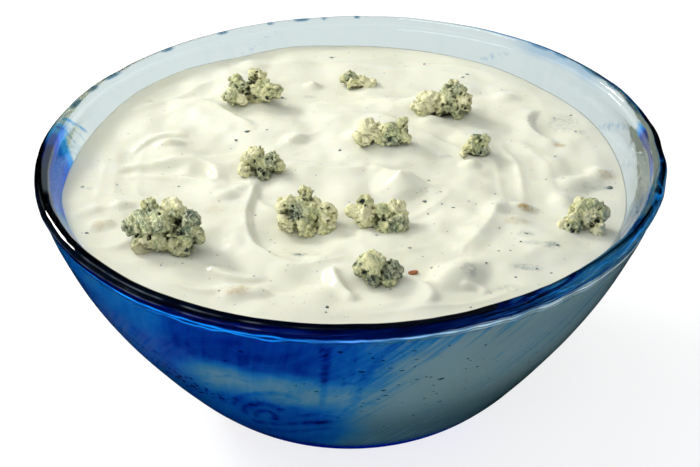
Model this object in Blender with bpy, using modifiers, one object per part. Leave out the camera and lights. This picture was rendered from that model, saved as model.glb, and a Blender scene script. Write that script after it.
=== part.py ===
"""Blue cheese dip in a swirled glass bowl, with crumbles of the cheese on top.

The bowl is a turned glass shell with a rounded rim and a flat foot ring. The dip fills it to
a few millimetres below the rim, and its top is stirred and uneven. Each crumble is a heap of
fused lumps that sits in the dip. Units are metres, +Z is up, and the origin is on the table
under the middle of the bowl. Sizes given in millimetres are multiplied by MM where they are used.
"""

import math
import random

import bmesh
import bpy
from mathutils import Euler, Vector, noise

MM = 0.001
GAP = 0.3 * MM  # clearance that touching pieces keep

# The bowl
BOWL_HEIGHT = 60.0 * MM
RIM_BEAD = 1.7 * MM  # radius of the rounded edge
FLOOR = 6.0 * MM  # height of the inside of the bowl's floor
FLOOR_CURVE = 11.0 * MM  # height over which the floor turns into the wall
FLOOR_FLAT = 0.55  # flat part of the floor, as a share of the radius above the curve
FOOT_INSIDE = 19.0 * MM  # inner radius of the flat ring that the bowl stands on
FOOT_HOLLOW = 0.8 * MM  # how far the middle of the foot is raised
FOOT_ROUNDING = 1.0 * MM  # height of the rounded corner at the foot
# Height above the table and radius, outside and inside
OUTSIDE = (
    (0.0, 27.5),
    (2.0, 32.2),
    (5.0, 36.9),
    (10.0, 42.0),
    (15.0, 46.1),
    (20.0, 49.9),
    (30.0, 56.8),
    (40.0, 62.5),
    (50.0, 66.9),
    (53.0, 68.0),
    (56.0, 68.9),
    (58.3, 70.0),
)
INSIDE = (
    (17.0, 43.9),
    (20.0, 46.5),
    (30.0, 53.4),
    (40.0, 58.4),
    (50.0, 61.7),
    (55.0, 64.2),
    (58.3, 66.6),
)
TURN_STEPS = 64
WALL_RINGS = 8
BEND_RINGS = 3

# The dip: its level at the middle, and how far its edge lies below the rim at each angle, from the
# right round the back
MIDDLE_LEVEL = 54.6 * MM
EDGE_FALL = (
    (0, 9.4),
    (24, 7.9),
    (42, 7.5),
    (60, 6.5),
    (92, 6.0),
    (128, 5.2),
    (165, 6.5),
    (190, 5.1),
    (240, 5.6),
    (285, 5.6),
    (322, 7.2),
    (340, 8.6),
    (360, 9.4),
)
FLAT_EDGE = 54.0 * MM  # height at which the dip's top is turned before it is shaped
TOP_RINGS = 13
RIPPLE = 0.5 * MM  # height of the small unevenness
RIPPLE_LENGTH = 14.0 * MM
FLATTENING = 6  # how suddenly the relief dies away at the wall

# Soft peaks and lumps in the dip: across, back, radius and height
PEAKS = (
    (11.0, -5.5, 7.0, 4.2),
    (-24.0, 54.0, 5.5, 3.0),
    (-8.3, 43.0, 3.5, 1.8),
    (-37.0, 42.5, 5.5, 1.8),
    (22.0, -42.5, 7.0, 2.8),
    (-22.5, -48.5, 5.0, 1.6),
    (-54.0, -21.5, 4.5, 1.6),
    (53.0, -0.5, 6.0, 2.2),
    (31.0, -18.0, 5.0, 1.4),
)
# Hollows that the spoon left: across, back, half width, half depth and how deep
SPOON_MARKS = (
    (-42.0, 3.6, 9.0, 4.0, 1.2),
    (48.5, 22.0, 6.5, 8.0, 1.4),
    (-10.0, -24.0, 11.0, 11.0, 1.4),
    (40.0, 4.0, 12.0, 8.0, 0.9),
    (10.0, -20.0, 9.0, 8.0, 1.0),
)
SPOON_BANK = 0.4  # height of the bank round a hollow, as a share of its depth
BANK_WIDTH = 0.35  # and the bank's width, as a share of the hollow's
# Long soft folds: the points they pass, their width and height
FOLDS = (
    (((-19.5, 3.0), (-22.5, -16.0), (-18.0, -33.0), (-5.0, -37.5), (0.0, -34.0)), 3.2, 1.6),
    (((-53.0, 2.0), (-39.0, -0.5), (-29.5, -4.5)), 2.4, 1.1),
    (((-50.0, 6.0), (-38.0, 6.8), (-31.0, 3.5)), 2.4, 1.2),
    (((-44.0, 35.0), (-33.0, 33.5), (-21.0, 20.5)), 4.0, 1.5),
    (((-4.0, -40.0), (-3.5, -44.0), (1.0, -52.0)), 2.6, 1.8),
    (((6.0, -43.0), (15.0, -47.0), (15.0, -55.0)), 3.4, 1.6),
    (((22.0, -35.0), (27.0, -28.0), (33.0, -12.0)), 4.5, 1.4),
)

# The crumbles: the front of each on the dip, its core behind that, and the lumps of its front
# slope. A lump is given by how far it is across, how far up the slope, and its radius. The core
# is across, behind, above the dip, and its radius.
SLOPE = math.radians(46)
CRUMBLES = {
    "crumble_front_left": (
        (-39.4, -34.3),
        (0.5, 8.0, 2.2, 4.2),
        ((-4.3, 6.8, 3.3), (0.0, 7.2, 3.5), (5.0, 7.4, 2.7), (6.0, 4.4, 2.3), (3.6, 2.6, 2.6),
         (-4.2, 2.8, 2.3), (-0.6, 3.9, 2.6), (-7.1, 6.9, 1.7), (-3.0, 11.2, 1.8), (1.2, 10.8, 2.0)),
    ),
    "crumble_middle": (
        (-9.8, -24.6),
        (0.4, 6.0, 2.0, 3.4),
        ((0.0, 10.2, 1.5), (-0.1, 8.3, 2.0), (-3.9, 7.8, 2.1), (-2.4, 5.8, 2.2), (1.2, 6.0, 2.2),
         (4.2, 5.0, 2.5), (-4.3, 3.2, 1.9), (0.0, 2.3, 2.1), (4.4, 2.3, 1.6)),
    ),
    "crumble_middle_right": (
        (6.0, -24.6),
        (0.0, 5.0, 1.2, 2.9),
        ((-3.0, 4.6, 2.5), (-3.1, 7.1, 1.8), (-5.6, 5.5, 1.4), (0.9, 5.0, 2.1), (3.0, 3.0, 2.6),
         (1.0, 1.9, 1.9), (4.0, 6.1, 1.9), (5.2, 4.2, 1.2)),
    ),
    "crumble_front": (
        (5.3, -47.1),
        (-0.6, 4.6, 1.4, 2.8),
        ((-1.5, 4.6, 3.0), (-3.4, 4.2, 1.8), (2.8, 3.6, 2.0), (2.4, 1.9, 1.6), (-0.9, 2.4, 1.9)),
    ),
    "crumble_right": (
        (50.0, -24.5),
        (0.2, 4.6, 2.6, 2.5),
        ((-2.4, 4.4, 1.9), (-0.4, 6.4, 2.1), (1.9, 6.3, 2.1), (3.5, 5.3, 1.7), (1.2, 4.2, 1.9),
         (-2.3, 1.9, 1.8), (3.0, 1.9, 1.6), (-4.5, 3.0, 1.1)),
    ),
    "crumble_back_left": (
        (-22.9, 31.1),
        (0.4, 5.6, 1.2, 3.0),
        ((-4.0, 6.8, 1.7), (-2.8, 5.4, 1.8), (-4.9, 2.9, 2.1), (-2.6, 2.4, 1.7), (0.1, 8.1, 1.5),
         (1.8, 8.2, 1.6), (2.4, 6.4, 1.7), (1.0, 4.6, 1.5), (3.6, 4.0, 2.1), (5.7, 4.2, 1.6)),
    ),
    "crumble_left": (
        (-20.0, -1.3),
        (0.0, 4.2, 1.6, 2.5),
        ((-1.0, 6.9, 1.7), (-3.0, 5.4, 1.5), (-3.2, 2.7, 1.9), (-0.8, 4.4, 2.1), (1.8, 3.8, 2.1),
         (0.4, 1.9, 1.9), (2.6, 5.4, 1.3), (3.9, 3.6, 1.3)),
    ),
    "crumble_back": (
        (2.4, 40.9),
        (0.2, 3.0, 0.8, 1.7),
        ((-2.0, 4.1, 1.5), (-3.3, 3.7, 1.0), (-1.3, 2.2, 1.7), (0.9, 2.8, 1.5), (2.7, 2.2, 1.4)),
    ),
    "crumble_back_right": (
        (21.1, 24.0),
        (1.0, 6.6, 1.6, 3.4),
        ((-2.6, 4.9, 2.8), (-4.5, 3.7, 2.0), (-3.7, 2.1, 1.6), (-0.7, 4.0, 2.1), (2.4, 7.0, 2.2),
         (4.5, 7.0, 2.0), (3.3, 9.0, 1.4), (2.0, 4.3, 2.2), (5.7, 4.7, 2.3), (4.0, 2.4, 2.0)),
    ),
    "crumble_centre": (
        (6.7, 10.3),
        (0.6, 5.0, 0.4, 2.6),
        ((-2.0, 4.4, 2.4), (-4.0, 2.9, 1.8), (-3.4, 1.4, 1.3), (-0.6, 2.8, 1.9), (3.0, 3.2, 2.2),
         (4.9, 3.6, 1.9), (5.5, 5.4, 1.4), (3.4, 1.5, 1.6), (5.9, 2.4, 1.4)),
    ),
    "crumble_small_right": (
        (28.4, 6.8),
        (0.2, 2.8, 1.2, 1.7),
        ((0.2, 4.0, 1.9), (-1.2, 2.3, 1.7), (1.4, 2.4, 1.6), (-2.6, 1.2, 1.0)),
    ),
}
SINK = 1.0 * MM  # how deep the dip gives way under a crumble
SINK_REACH = 1.6  # how far it gives way, as a share of the core's radius
ROUGHNESS = 0.13  # share of a lump's radius by which its corners stand in or out
FINE_LUMP = 3.2  # lumps of this radius or more are divided more finely
CORNER_REACH = 1.12  # how far a coarse lump's corners stand out, to hold the volume of its ball
TINIEST_EDGE = 0.002 * MM  # corners closer than this are made one

# Colours, roughness and the share of light that goes through
GLASS = ((0.05, 0.20, 0.55, 1.0), 0.04, 1.0)
CREAM = ((0.86, 0.84, 0.72, 1.0), 0.35, 0.0)
CHEESE = ((0.52, 0.53, 0.40, 1.0), 0.75, 0.0)


def start_scene():
    """Empties the file, and makes the collections for the pieces and for the cutters."""
    for old in list(bpy.data.objects):
        bpy.data.objects.remove(old, do_unlink=True)
    made = []
    for name in ("blue_cheese_dip", "cutters"):
        group = bpy.data.collections.new(name)
        bpy.context.scene.collection.children.link(group)
        made.append(group)
    return made


def new_material(name, look):
    """A plain material from a colour, a roughness and a share of light that goes through."""
    colour, roughness, clear = look
    mat = bpy.data.materials.new(name)
    mat.use_nodes = True
    shader = mat.node_tree.nodes["Principled BSDF"]
    shader.inputs["Base Color"].default_value = colour
    shader.inputs["Roughness"].default_value = roughness
    shader.inputs["Metallic"].default_value = 0.0
    shader.inputs["Transmission Weight"].default_value = clear
    return mat


def new_object(name, mesh, group, mat=None):
    """An object of this mesh, in this collection."""
    obj = bpy.data.objects.new(name, mesh)
    if mat is not None:
        mesh.materials.clear()
        mesh.materials.append(mat)
    group.objects.link(obj)
    return obj


def evaluated_mesh(obj):
    """The mesh that the object's modifiers give."""
    depsgraph = bpy.context.evaluated_depsgraph_get()
    return bpy.data.meshes.new_from_object(obj.evaluated_get(depsgraph))


def curve_through(stations, height):
    """The radius at a height: a smooth curve through stations in millimetres."""
    heights = [station[0] * MM for station in stations]
    radii = [station[1] * MM for station in stations]
    if height <= heights[0]:
        return radii[0]
    if height >= heights[-1]:
        return radii[-1]
    last = len(heights) - 1
    slopes = []
    for i in range(last + 1):
        before = max(i - 1, 0)
        after = min(i + 1, last)
        slopes.append((radii[after] - radii[before]) / (heights[after] - heights[before]))
    i = max(k for k in range(last) if heights[k] <= height)
    span = heights[i + 1] - heights[i]
    t = (height - heights[i]) / span
    start = (2 * t ** 3 - 3 * t ** 2 + 1) * radii[i] + (t ** 3 - 2 * t ** 2 + t) * span * slopes[i]
    end = (3 * t ** 2 - 2 * t ** 3) * radii[i + 1] + (t ** 3 - t ** 2) * span * slopes[i + 1]
    return start + end


def outer_radius(height):
    """The bowl's outer radius at a height."""
    return curve_through(OUTSIDE, height)


def inner_radius(height):
    """The radius of the bowl's inside at a height, rounded into the floor."""
    turn = (height - FLOOR) / FLOOR_CURVE
    if turn >= 1:
        return curve_through(INSIDE, height)
    top = curve_through(INSIDE, FLOOR + FLOOR_CURVE)
    flat = FLOOR_FLAT * top
    turn = max(turn, 0.0)
    return flat + (top - flat) * math.sqrt(1 - (1 - turn) ** 2)


def turned(name, profile, group, mat=None):
    """A solid of revolution: the profile goes from the axis over the top and down the outside."""
    mesh = bpy.data.meshes.new(name)
    edges = [(i, i + 1) for i in range(len(profile) - 1)]
    mesh.from_pydata([(radius, 0.0, height) for radius, height in profile], edges, [])
    obj = new_object(name, mesh, group, mat)
    screw = obj.modifiers.new("Turn", "SCREW")
    screw.steps = TURN_STEPS
    screw.render_steps = TURN_STEPS
    screw.use_merge_vertices = True
    screw.merge_threshold = 0.00001
    screw.use_smooth_shade = True
    return obj


def steps_between(start, end, count):
    """Evenly spaced values from start to end, both included."""
    return [start + (end - start) * i / count for i in range(count + 1)]


def inside_wall(top, clearance):
    """Points of the bowl's inside from its floor up to a height, moved in by a clearance."""
    low = FLOOR + clearance
    curve_top = FLOOR + FLOOR_CURVE
    points = []
    for i in range(BEND_RINGS + 1):
        turn = 1 - math.cos(math.pi / 2 * i / BEND_RINGS)
        height = FLOOR + FLOOR_CURVE * turn
        points.append((inner_radius(height) - clearance, max(height, low)))
    for height in steps_between(curve_top, top, WALL_RINGS)[1:]:
        points.append((inner_radius(height) - clearance, height))
    return points


def make_bowl(group):
    """The glass bowl: inside, rounded rim, outside and foot, in one turned profile."""
    bead_height = BOWL_HEIGHT - RIM_BEAD
    bead_radius = outer_radius(bead_height) - RIM_BEAD
    profile = [(0.0, FLOOR)] + inside_wall(bead_height, 0.0)[:-1]
    for i in range(2 * BEND_RINGS + 1):
        angle = math.pi * (1 - i / (2 * BEND_RINGS))
        radius = bead_radius + RIM_BEAD * math.cos(angle)
        profile.append((radius, bead_height + RIM_BEAD * math.sin(angle)))
    for height in steps_between(bead_height, 0.0, WALL_RINGS + 1)[1:-1]:
        profile.append((outer_radius(height), height))
    profile.append((outer_radius(FOOT_ROUNDING), FOOT_ROUNDING))
    profile.append((outer_radius(0.0), 0.0))
    profile.append((FOOT_INSIDE, 0.0))
    profile.append((0.0, FOOT_HOLLOW))
    return turned("bowl", profile, group, new_material("glass", GLASS))


def edge_level(angle):
    """How high the dip stands against the wall at an angle."""
    degrees = math.degrees(angle) % 360
    for (low, low_fall), (high, high_fall) in zip(EDGE_FALL, EDGE_FALL[1:]):
        if degrees <= high:
            share = (degrees - low) / (high - low)
            return BOWL_HEIGHT - (low_fall + (high_fall - low_fall) * share) * MM
    return BOWL_HEIGHT - EDGE_FALL[-1][1] * MM


def bump(distance):
    """1 at no distance, falling smoothly to 0 at a distance of 1."""
    if distance >= 1:
        return 0.0
    return (1 - distance ** 2) ** 2


def distance_to_fold(x, y, points):
    """The distance from a place to the line through the points."""
    place = Vector((x, y))
    best = 1.0
    for start, end in zip(points, points[1:]):
        a = Vector(start) * MM
        along = Vector(end) * MM - a
        share = max(0.0, min(1.0, (place - a).dot(along) / along.length_squared))
        best = min(best, (place - a - along * share).length)
    return best


def relief(x, y):
    """How far the stirred top of the dip stands above its general level."""
    height = RIPPLE * noise.noise(Vector((x, y, 0.0)) / RIPPLE_LENGTH)
    for across, back, radius, rise in PEAKS:
        distance = math.hypot(x - across * MM, y - back * MM) / (radius * MM)
        height += rise * MM * bump(distance)
    for across, back, wide, deep, drop in SPOON_MARKS:
        distance = math.hypot((x / MM - across) / wide, (y / MM - back) / deep)
        height -= drop * MM * bump(distance)
        height += SPOON_BANK * drop * MM * bump(abs(distance - 1) / BANK_WIDTH)
    for points, width, rise in FOLDS:
        height += rise * MM * bump(distance_to_fold(x, y, points) / (width * MM))
    for (across, back), core, lumps in CRUMBLES.values():
        reach = SINK_REACH * core[3]
        distance = math.hypot(x / MM - across - core[0], y / MM - back - core[1]) / reach
        height -= SINK * bump(distance)
    return height


def dip_height(x, y):
    """The height of the dip's top over a place."""
    angle = math.atan2(y, x)
    edge = edge_level(angle)
    share = min(1.0, math.hypot(x, y) / (inner_radius(edge) - GAP))
    level = MIDDLE_LEVEL + (edge - MIDDLE_LEVEL) * share ** 2
    return level + relief(x, y) * (1 - share ** FLATTENING)


def make_dip(group, name="dip", raised=0.0):
    """The dip: a turned filling of the bowl whose top is then given its level and relief."""
    top_radius = inner_radius(FLAT_EDGE) - GAP
    rim = [(top_radius * i / TOP_RINGS, FLAT_EDGE) for i in range(TOP_RINGS + 1)]
    side = list(reversed(inside_wall(FLAT_EDGE, GAP)))[1:]
    profile = rim + side + [(0.0, FLOOR + GAP)]
    plain = turned(name + "_plain", profile, group)
    mesh = evaluated_mesh(plain)
    bpy.data.objects.remove(plain, do_unlink=True)
    curve_top = FLOOR + FLOOR_CURVE
    for vertex in mesh.vertices:
        x, y, z = vertex.co
        if z < curve_top + MM:
            continue
        angle = math.atan2(y, x)
        edge = edge_level(angle)
        if z > FLAT_EDGE - MM:
            radius = math.hypot(x, y) / top_radius * (inner_radius(edge) - GAP)
        else:
            z = curve_top + (z - curve_top) * (edge - curve_top) / (FLAT_EDGE - curve_top)
            radius = inner_radius(z) - GAP
        x = radius * math.cos(angle)
        y = radius * math.sin(angle)
        if vertex.co.z > FLAT_EDGE - MM:
            z = dip_height(x, y)
        vertex.co = (x, y, z + raised)
    return new_object(name, mesh, group, new_material(name, CREAM))


def make_lump(name, centre, radius, group, rng):
    """One rough lump: a ball whose corners stand in or out a little."""
    mesh = bpy.data.meshes.new(name)
    bm = bmesh.new()
    if radius >= FINE_LUMP * MM:
        bmesh.ops.create_icosphere(bm, subdivisions=2, radius=radius)
    else:
        bmesh.ops.create_icosphere(bm, subdivisions=1, radius=radius * CORNER_REACH)
    turn = Euler([rng.uniform(0, math.tau) for axis in range(3)]).to_matrix()
    bmesh.ops.rotate(bm, verts=bm.verts, matrix=turn)
    for vertex in bm.verts:
        vertex.co *= 1 + rng.uniform(-ROUGHNESS, ROUGHNESS)
        vertex.co += centre
    bm.to_mesh(mesh)
    bm.free()
    return new_object(name, mesh, group)


def lump_centre(front, level, across, up):
    """The place of a lump that lies up the front slope of a crumble."""
    x = (front[0] + across) * MM
    y = front[1] * MM + up * math.cos(SLOPE) * MM
    return Vector((x, y, level + up * math.sin(SLOPE) * MM))


def fuse(name, lumps, dip_cutter, group):
    """Joins the lumps into one body and takes away what would lie in the dip."""
    whole = lumps[0]
    for lump in lumps[1:]:
        join = whole.modifiers.new("Join", "BOOLEAN")
        join.operation = "UNION"
        join.object = lump
    cut = whole.modifiers.new("Sit in the dip", "BOOLEAN")
    cut.operation = "DIFFERENCE"
    cut.object = dip_cutter
    mesh = evaluated_mesh(whole)
    for lump in lumps:
        bpy.data.objects.remove(lump, do_unlink=True)
    bm = bmesh.new()
    bm.from_mesh(mesh)
    bmesh.ops.remove_doubles(bm, verts=bm.verts, dist=TINIEST_EDGE)
    bmesh.ops.triangulate(bm, faces=bm.faces)
    bmesh.ops.dissolve_degenerate(bm, edges=bm.edges, dist=TINIEST_EDGE / 2)
    bm.to_mesh(mesh)
    bm.free()
    return new_object(name, mesh, group, new_material(name, CHEESE))


def make_crumble(name, seed, dip_cutter, group, cutters):
    """One crumble: its core and the lumps of its front slope, fused and set into the dip."""
    front, core, lumps = CRUMBLES[name]
    rng = random.Random(seed)
    x = (front[0] + core[0]) * MM
    y = (front[1] + core[1]) * MM
    level = dip_height(x, y)
    middle = Vector((x, y, level + core[2] * MM))
    made = [make_lump(name + "_core", middle, core[3] * MM, cutters, rng)]
    for i, (across, up, radius) in enumerate(lumps):
        centre = lump_centre(front, level, across, up)
        made.append(make_lump(name + "_lump_" + str(i), centre, radius * MM, cutters, rng))
    return fuse(name, made, dip_cutter, group)


def main():
    pieces, cutters = start_scene()
    make_bowl(pieces)
    make_dip(pieces)
    dip_cutter = make_dip(cutters, "dip_cutter", GAP)
    dip_cutter.hide_render = True
    dip_cutter.display_type = "WIRE"
    for seed, name in enumerate(CRUMBLES):
        make_crumble(name, seed, dip_cutter, pieces, cutters)


main()
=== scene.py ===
"""Blue cheese dip with crumbles on top, in a round glass bowl with blue swirls.

The frame gives the box of every piece. Here each one gets its real surface: the blown glass with
its blue ink, the stirred cream, the crumbles with their mould, and the small flecks. Sizes that
are given in millimetres are multiplied by MM where they are used.
"""

import math
import random

import bmesh
import bpy
import numpy as np
from mathutils import Euler, Matrix, Vector, noise


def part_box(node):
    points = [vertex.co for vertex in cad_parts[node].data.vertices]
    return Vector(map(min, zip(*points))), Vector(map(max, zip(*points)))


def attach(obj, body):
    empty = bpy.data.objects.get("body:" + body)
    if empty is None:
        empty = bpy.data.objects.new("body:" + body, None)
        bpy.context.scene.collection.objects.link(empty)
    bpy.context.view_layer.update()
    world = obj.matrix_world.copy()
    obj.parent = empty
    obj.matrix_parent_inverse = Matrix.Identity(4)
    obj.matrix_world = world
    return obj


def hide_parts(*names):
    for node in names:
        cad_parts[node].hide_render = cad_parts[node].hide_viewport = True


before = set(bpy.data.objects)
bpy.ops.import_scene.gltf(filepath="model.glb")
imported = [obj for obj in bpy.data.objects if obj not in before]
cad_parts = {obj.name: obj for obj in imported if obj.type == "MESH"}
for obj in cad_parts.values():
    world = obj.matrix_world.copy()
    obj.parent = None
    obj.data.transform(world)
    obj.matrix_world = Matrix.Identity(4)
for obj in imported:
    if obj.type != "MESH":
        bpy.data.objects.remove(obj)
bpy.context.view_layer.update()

MM = 0.001
BODY = "root"

# The bowl, as it is turned in the frame
BOWL_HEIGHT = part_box("bowl")[1].z
RIM_BEAD = 1.7 * MM  # radius of the rounded rim
FLOOR = 6.0 * MM  # height of the floor inside
FLOOR_CURVE = 11.0 * MM  # height of the curve between floor and wall
FLOOR_FLAT = 0.55  # share of the floor that is flat
FOOT_INSIDE = 19.0 * MM  # radius of the hollow under the foot
FOOT_HOLLOW = 0.8 * MM  # its depth
# Height and radius, outside and inside
OUTSIDE = (
    (0, 27.5), (2, 32.2), (5, 36.9), (10, 42), (15, 46.1), (20, 49.9), (30, 56.8), (40, 62.5),
    (50, 66.9), (53, 68), (56, 68.9), (58.3, 70),
)
INSIDE = (
    (17, 43.9), (20, 46.5), (30, 53.4), (40, 58.4), (50, 61.7), (55, 64.2), (58.3, 66.6),
)
# Into how many steps the parts of the section are divided, and a turn round the bowl
INSIDE_STEPS = 46
FLOOR_STEPS = 14
BEAD_STEPS = 22
NECK = 53 * MM  # above this height the steps are finer
NECK_STEPS = 30
WALL_STEPS = 96
BOWL_TURNS = 640
SAME_POINT = 0.001 * MM  # points nearer than this are joined
WALL_STEP = math.radians(60)  # a degree round the wall in millimetres, at a radius of 60 mm
LEAN = 0.75 * MM  # how far the hand-made body stands to the left of its rim and foot

# The dip: how far its edge lies below the rim at each angle, from the right round the back
EDGE_FALL = (
    (0, 9.4), (10, 8.8), (24, 7.9), (42, 7.5), (56, 6.7), (75, 6.3), (92, 6), (103, 5.4),
    (115, 5.8), (128, 5.1), (142, 5.2), (157, 6.3), (171, 6.7), (180, 6.2), (190, 5.1), (215, 5.3),
    (240, 5.6), (262, 5.4), (285, 5.6), (305, 6.4), (322, 7.2), (340, 8.6), (352, 9.3), (360, 9.4),
)
MIDDLE_LEVEL = 54.6 * MM  # height of the dip in its middle
FLAT_EDGE = 54.0 * MM  # the height at which the dip's top is turned before it is shaped
INTO_WALL = 0.15 * MM  # the cream reaches this far into the glass, so that no air shows between
# Steps of the dip's mesh: round it, across its top and down its side
DIP_TURNS = 440
DIP_RINGS = 150
DIP_SIDE_STEPS = 24

# Ink drawn in the glass: angle round the bowl and height at the places it passes, width in
# millimetres at its start and end, and strength
INK_STROKES = (
    (((242, 24), (244.4, 29), (248, 33), (252, 35.6), (255.6, 36.8), (259, 35.8), (261.4, 32)),
     1, 1.3, 0.75),
    (((243.5, 21), (245.5, 25.5), (249, 29.4), (252.4, 31), (254.8, 29.4), (255, 25.8)),
     1.2, 1.8, 0.95),
    (((246.4, 21.5), (248.4, 25.2), (251, 27.4), (252.8, 26), (251.8, 23), (249.2, 21.6)),
     1, 1.2, 1),
    (((243.5, 18.5), (247, 19.2), (251.5, 20.6), (257, 22.6), (262, 24.2), (266, 25.4),
      (270.6, 26.4)), 1.8, 1.4, 0.85),
    (((245, 15.4), (250, 16.2), (256.9, 18.2), (263.2, 20.8), (268.8, 22.4)), 2.4, 1, 0.6),
    (((258, 26.6), (261.6, 28.4), (265, 28.6), (268, 27.2)), 0.9, 0.8, 0.6),
    (((240.5, 26), (241.4, 30), (243.4, 33)), 1.6, 0.8, 0.6),
    (((265.8, 56), (265.6, 50), (265.2, 43), (264.6, 36), (264.2, 31)), 1.5, 0.7, 0.75),
    (((270.9, 56), (270.4, 47), (270.1, 40), (269.6, 31)), 1, 0.6, 0.45),
    (((277.5, 56), (274.9, 51), (272.6, 45.4), (271, 42.6), (268.8, 42.4), (268.2, 39)),
     1.2, 0.7, 0.7),
    (((279, 56), (276.4, 53), (274.4, 49), (272.6, 44), (271.4, 38), (270.3, 30), (268.6, 22)),
     1.6, 1.2, 0.6),
    (((281.5, 56), (278.5, 52.6), (275.6, 47.4), (273, 41), (271, 34)), 1.4, 0.8, 0.55),
    (((284.5, 56), (281, 53), (277.5, 48.4), (274.4, 43)), 1.2, 0.7, 0.76),
    (((265.9, 29.4), (267, 27.4), (268.8, 30.9), (270.4, 33.8), (274.3, 34.2), (277.5, 32.4)),
     0.8, 0.6, 0.55),
    (((272.8, 35), (279.7, 31), (286.8, 30.4), (293.5, 33.6), (299, 38)), 0.9, 0.7, 0.35),
    (((283, 24), (291, 29), (300, 36), (309, 44), (316, 50)), 1, 1.6, 0.66),
    (((287, 38), (294, 42.6), (300, 44.8), (309, 49)), 0.7, 1, 0.57),
    (((300, 30), (308, 37), (317, 46), (324, 53)), 1, 1.6, 0.61),
    (((334, 56), (326, 48), (317, 40), (308, 32)), 0.6, 0.9, 0.76),
    (((328, 56), (319, 47), (310, 38), (301, 30)), 0.6, 0.8, 0.66),
    (((322, 55), (313, 46), (304, 37), (295, 29)), 0.7, 1, 0.76),
    (((339, 55), (331, 47), (323, 39), (315, 32)), 0.6, 0.8, 0.66),
    (((316, 54), (307, 45), (298, 36), (290, 28)), 0.6, 0.8, 0.61),
    (((344, 54), (337, 47), (330, 40), (322, 32)), 0.8, 1, 0.66),
    (((8, 57), (22, 50), (34, 40), (40, 28)), 1.6, 0.8, 0.45),
    (((2, 52), (14, 44), (26, 34), (38, 30)), 1.2, 0.8, 0.4),
    (((52, 56), (64, 49), (72, 38), (90, 33), (98, 40), (90, 46)), 1.2, 0.7, 0.35),
    (((172, 55), (160, 47), (150, 36), (146, 24)), 1.8, 0.8, 0.45),
    (((168, 40), (156, 33), (140, 30), (128, 36)), 1.4, 0.6, 0.4),
    (((104, 58), (112, 53), (126, 50), (138, 54)), 0.9, 0.5, 0.3),
    (((243, 38), (246, 40.5), (250, 40), (254, 42)), 1, 0.8, 0.4),
    (((257.8, 42), (258.6, 38), (258.2, 33), (259, 28)), 0.7, 0.6, 0.4),
    (((222, 44), (228, 40.5), (233, 36), (237, 31)), 1.3, 0.8, 0.5),
    (((218, 41), (225, 37.5), (231, 33), (236, 28)), 1, 0.8, 0.5),
)
# Thin loops of ink inside the wall on the left, above the dip
CURL_STROKES = (
    (((171, 62), (167, 61.4), (164.5, 59), (162.5, 56), (161, 53)), 0.4, 0.4, 1.1),
    (((170, 61), (168, 59), (167.5, 56), (168.5, 53)), 0.4, 0.3, 0.9),
    (((167.5, 58), (165.6, 57.4), (164.2, 55), (164, 52.5)), 0.3, 0.3, 0.7),
    (((176, 60), (177, 57), (179.5, 54.5), (183, 52.5)), 0.5, 0.4, 0.6),
)
# Painted dark reflections on the rim at the back, as small slate marks: angle and half width
RIM_DARK_REFLECTIONS = (
    (159, 2.2), (152, 1.6), (145.7, 2.6), (130.4, 1.6), (117.1, 1.3), (106.5, 0.8), (99.8, 1.8),
    (95, 0.6), (88, 0.6), (46.6, 2.8), (41, 2.2), (31.3, 4), (24.5, 2.4), (16, 4),
)
MARK_HEIGHT = 0.24  # their half height in millimetres
# A patch of dark dots: angle, height, half width, half height and strength
SPECKLED_INK = (233.0, 30.5, 11.0, 5.0, 1.0)
# Painted highlights: bright lines that glow along the rim, on the right and in front on the left:
# height and half thickness
RIGHT_PAINTED_HIGHLIGHTS = ((59.4, 0.22), (58.2, 0.16), (57.0, 0.2))
LEFT_PAINTED_HIGHLIGHTS = ((59.8, 0.05), (59.35, 0.08), (58.85, 0.08))

# The stirred top. Soft pointed peaks: across, back, radius, height
PEAKS = (
    (11, -5.5, 7, 4.2), (-24, 54, 5.5, 3), (-8.3, 43, 2.8, 1.8), (-37, 42.5, 5, 1.5),
    (31, -18, 4, 1),
)
# Round lumps and hollows: across, back, half width, half depth, turn in degrees, height
LUMPS = (
    (22, -42.5, 7, 5, 35, 2.3), (-22.8, -48.2, 4.5, 3, 0, 1.4), (-18.5, -49.2, 2.6, 2.2, 0, 1),
    (-54, -21.5, 3.6, 2.6, 0, 1.4), (-60, -17, 3, 2, 0, 1), (-56, -15, 3.4, 1.8, 10, 0.9),
    (-50, -14, 3.4, 1.8, 15, 0.8), (52, -1.5, 5.5, 3.6, 20, 1.7), (57, 2.8, 3.6, 2.6, 0, 1.5),
    (38, -14.5, 3.4, 1.8, 0, 0.9), (35, -21.5, 4, 2.2, 0, 0.6), (-12.5, 16.5, 3.2, 2.2, 0, 0.8),
    (-41, 14.5, 3.6, 1.6, 12, 0.8), (37.5, 36, 3.8, 2.6, 0, 1.1), (27.5, 4, 2.6, 2, 0, 0.8),
    (20, 23, 3.4, 2.2, 0, 0.6), (47, -10.5, 3.4, 3.2, 0, 0.8), (-27, -9, 2.8, 2, 0, 0.6),
    (-24, -6, 2.2, 1.6, 0, 0.5), (-24.8, -29, 2.4, 3.4, 0, 0.6), (-59, -5.5, 1.8, 1.2, 0, 0.4),
    (9, 31, 7, 6, 0, 0.8), (3, 16.6, 4.6, 3.4, 0, 1.5), (17, 31, 5.2, 4, 0, 1.6),
    (-10, -24, 11, 11, 0, -1), (-42, 3.6, 9, 2.6, -4, -0.7), (-33, 1.4, 3.4, 4.2, 0, -0.9),
    (48.5, 22, 6, 7.5, -20, -1), (-25, -37, 5, 4, 0, -0.5), (-43, 28.5, 4.2, 2.4, 0, -0.5),
    (-38, 28, 2.4, 3, 0, -0.4), (40, 4, 12, 8, 0, -0.6), (10, -20, 9, 8, 0, -0.7),
    (20, -30, 7, 6, 0, -0.5),
)
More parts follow.
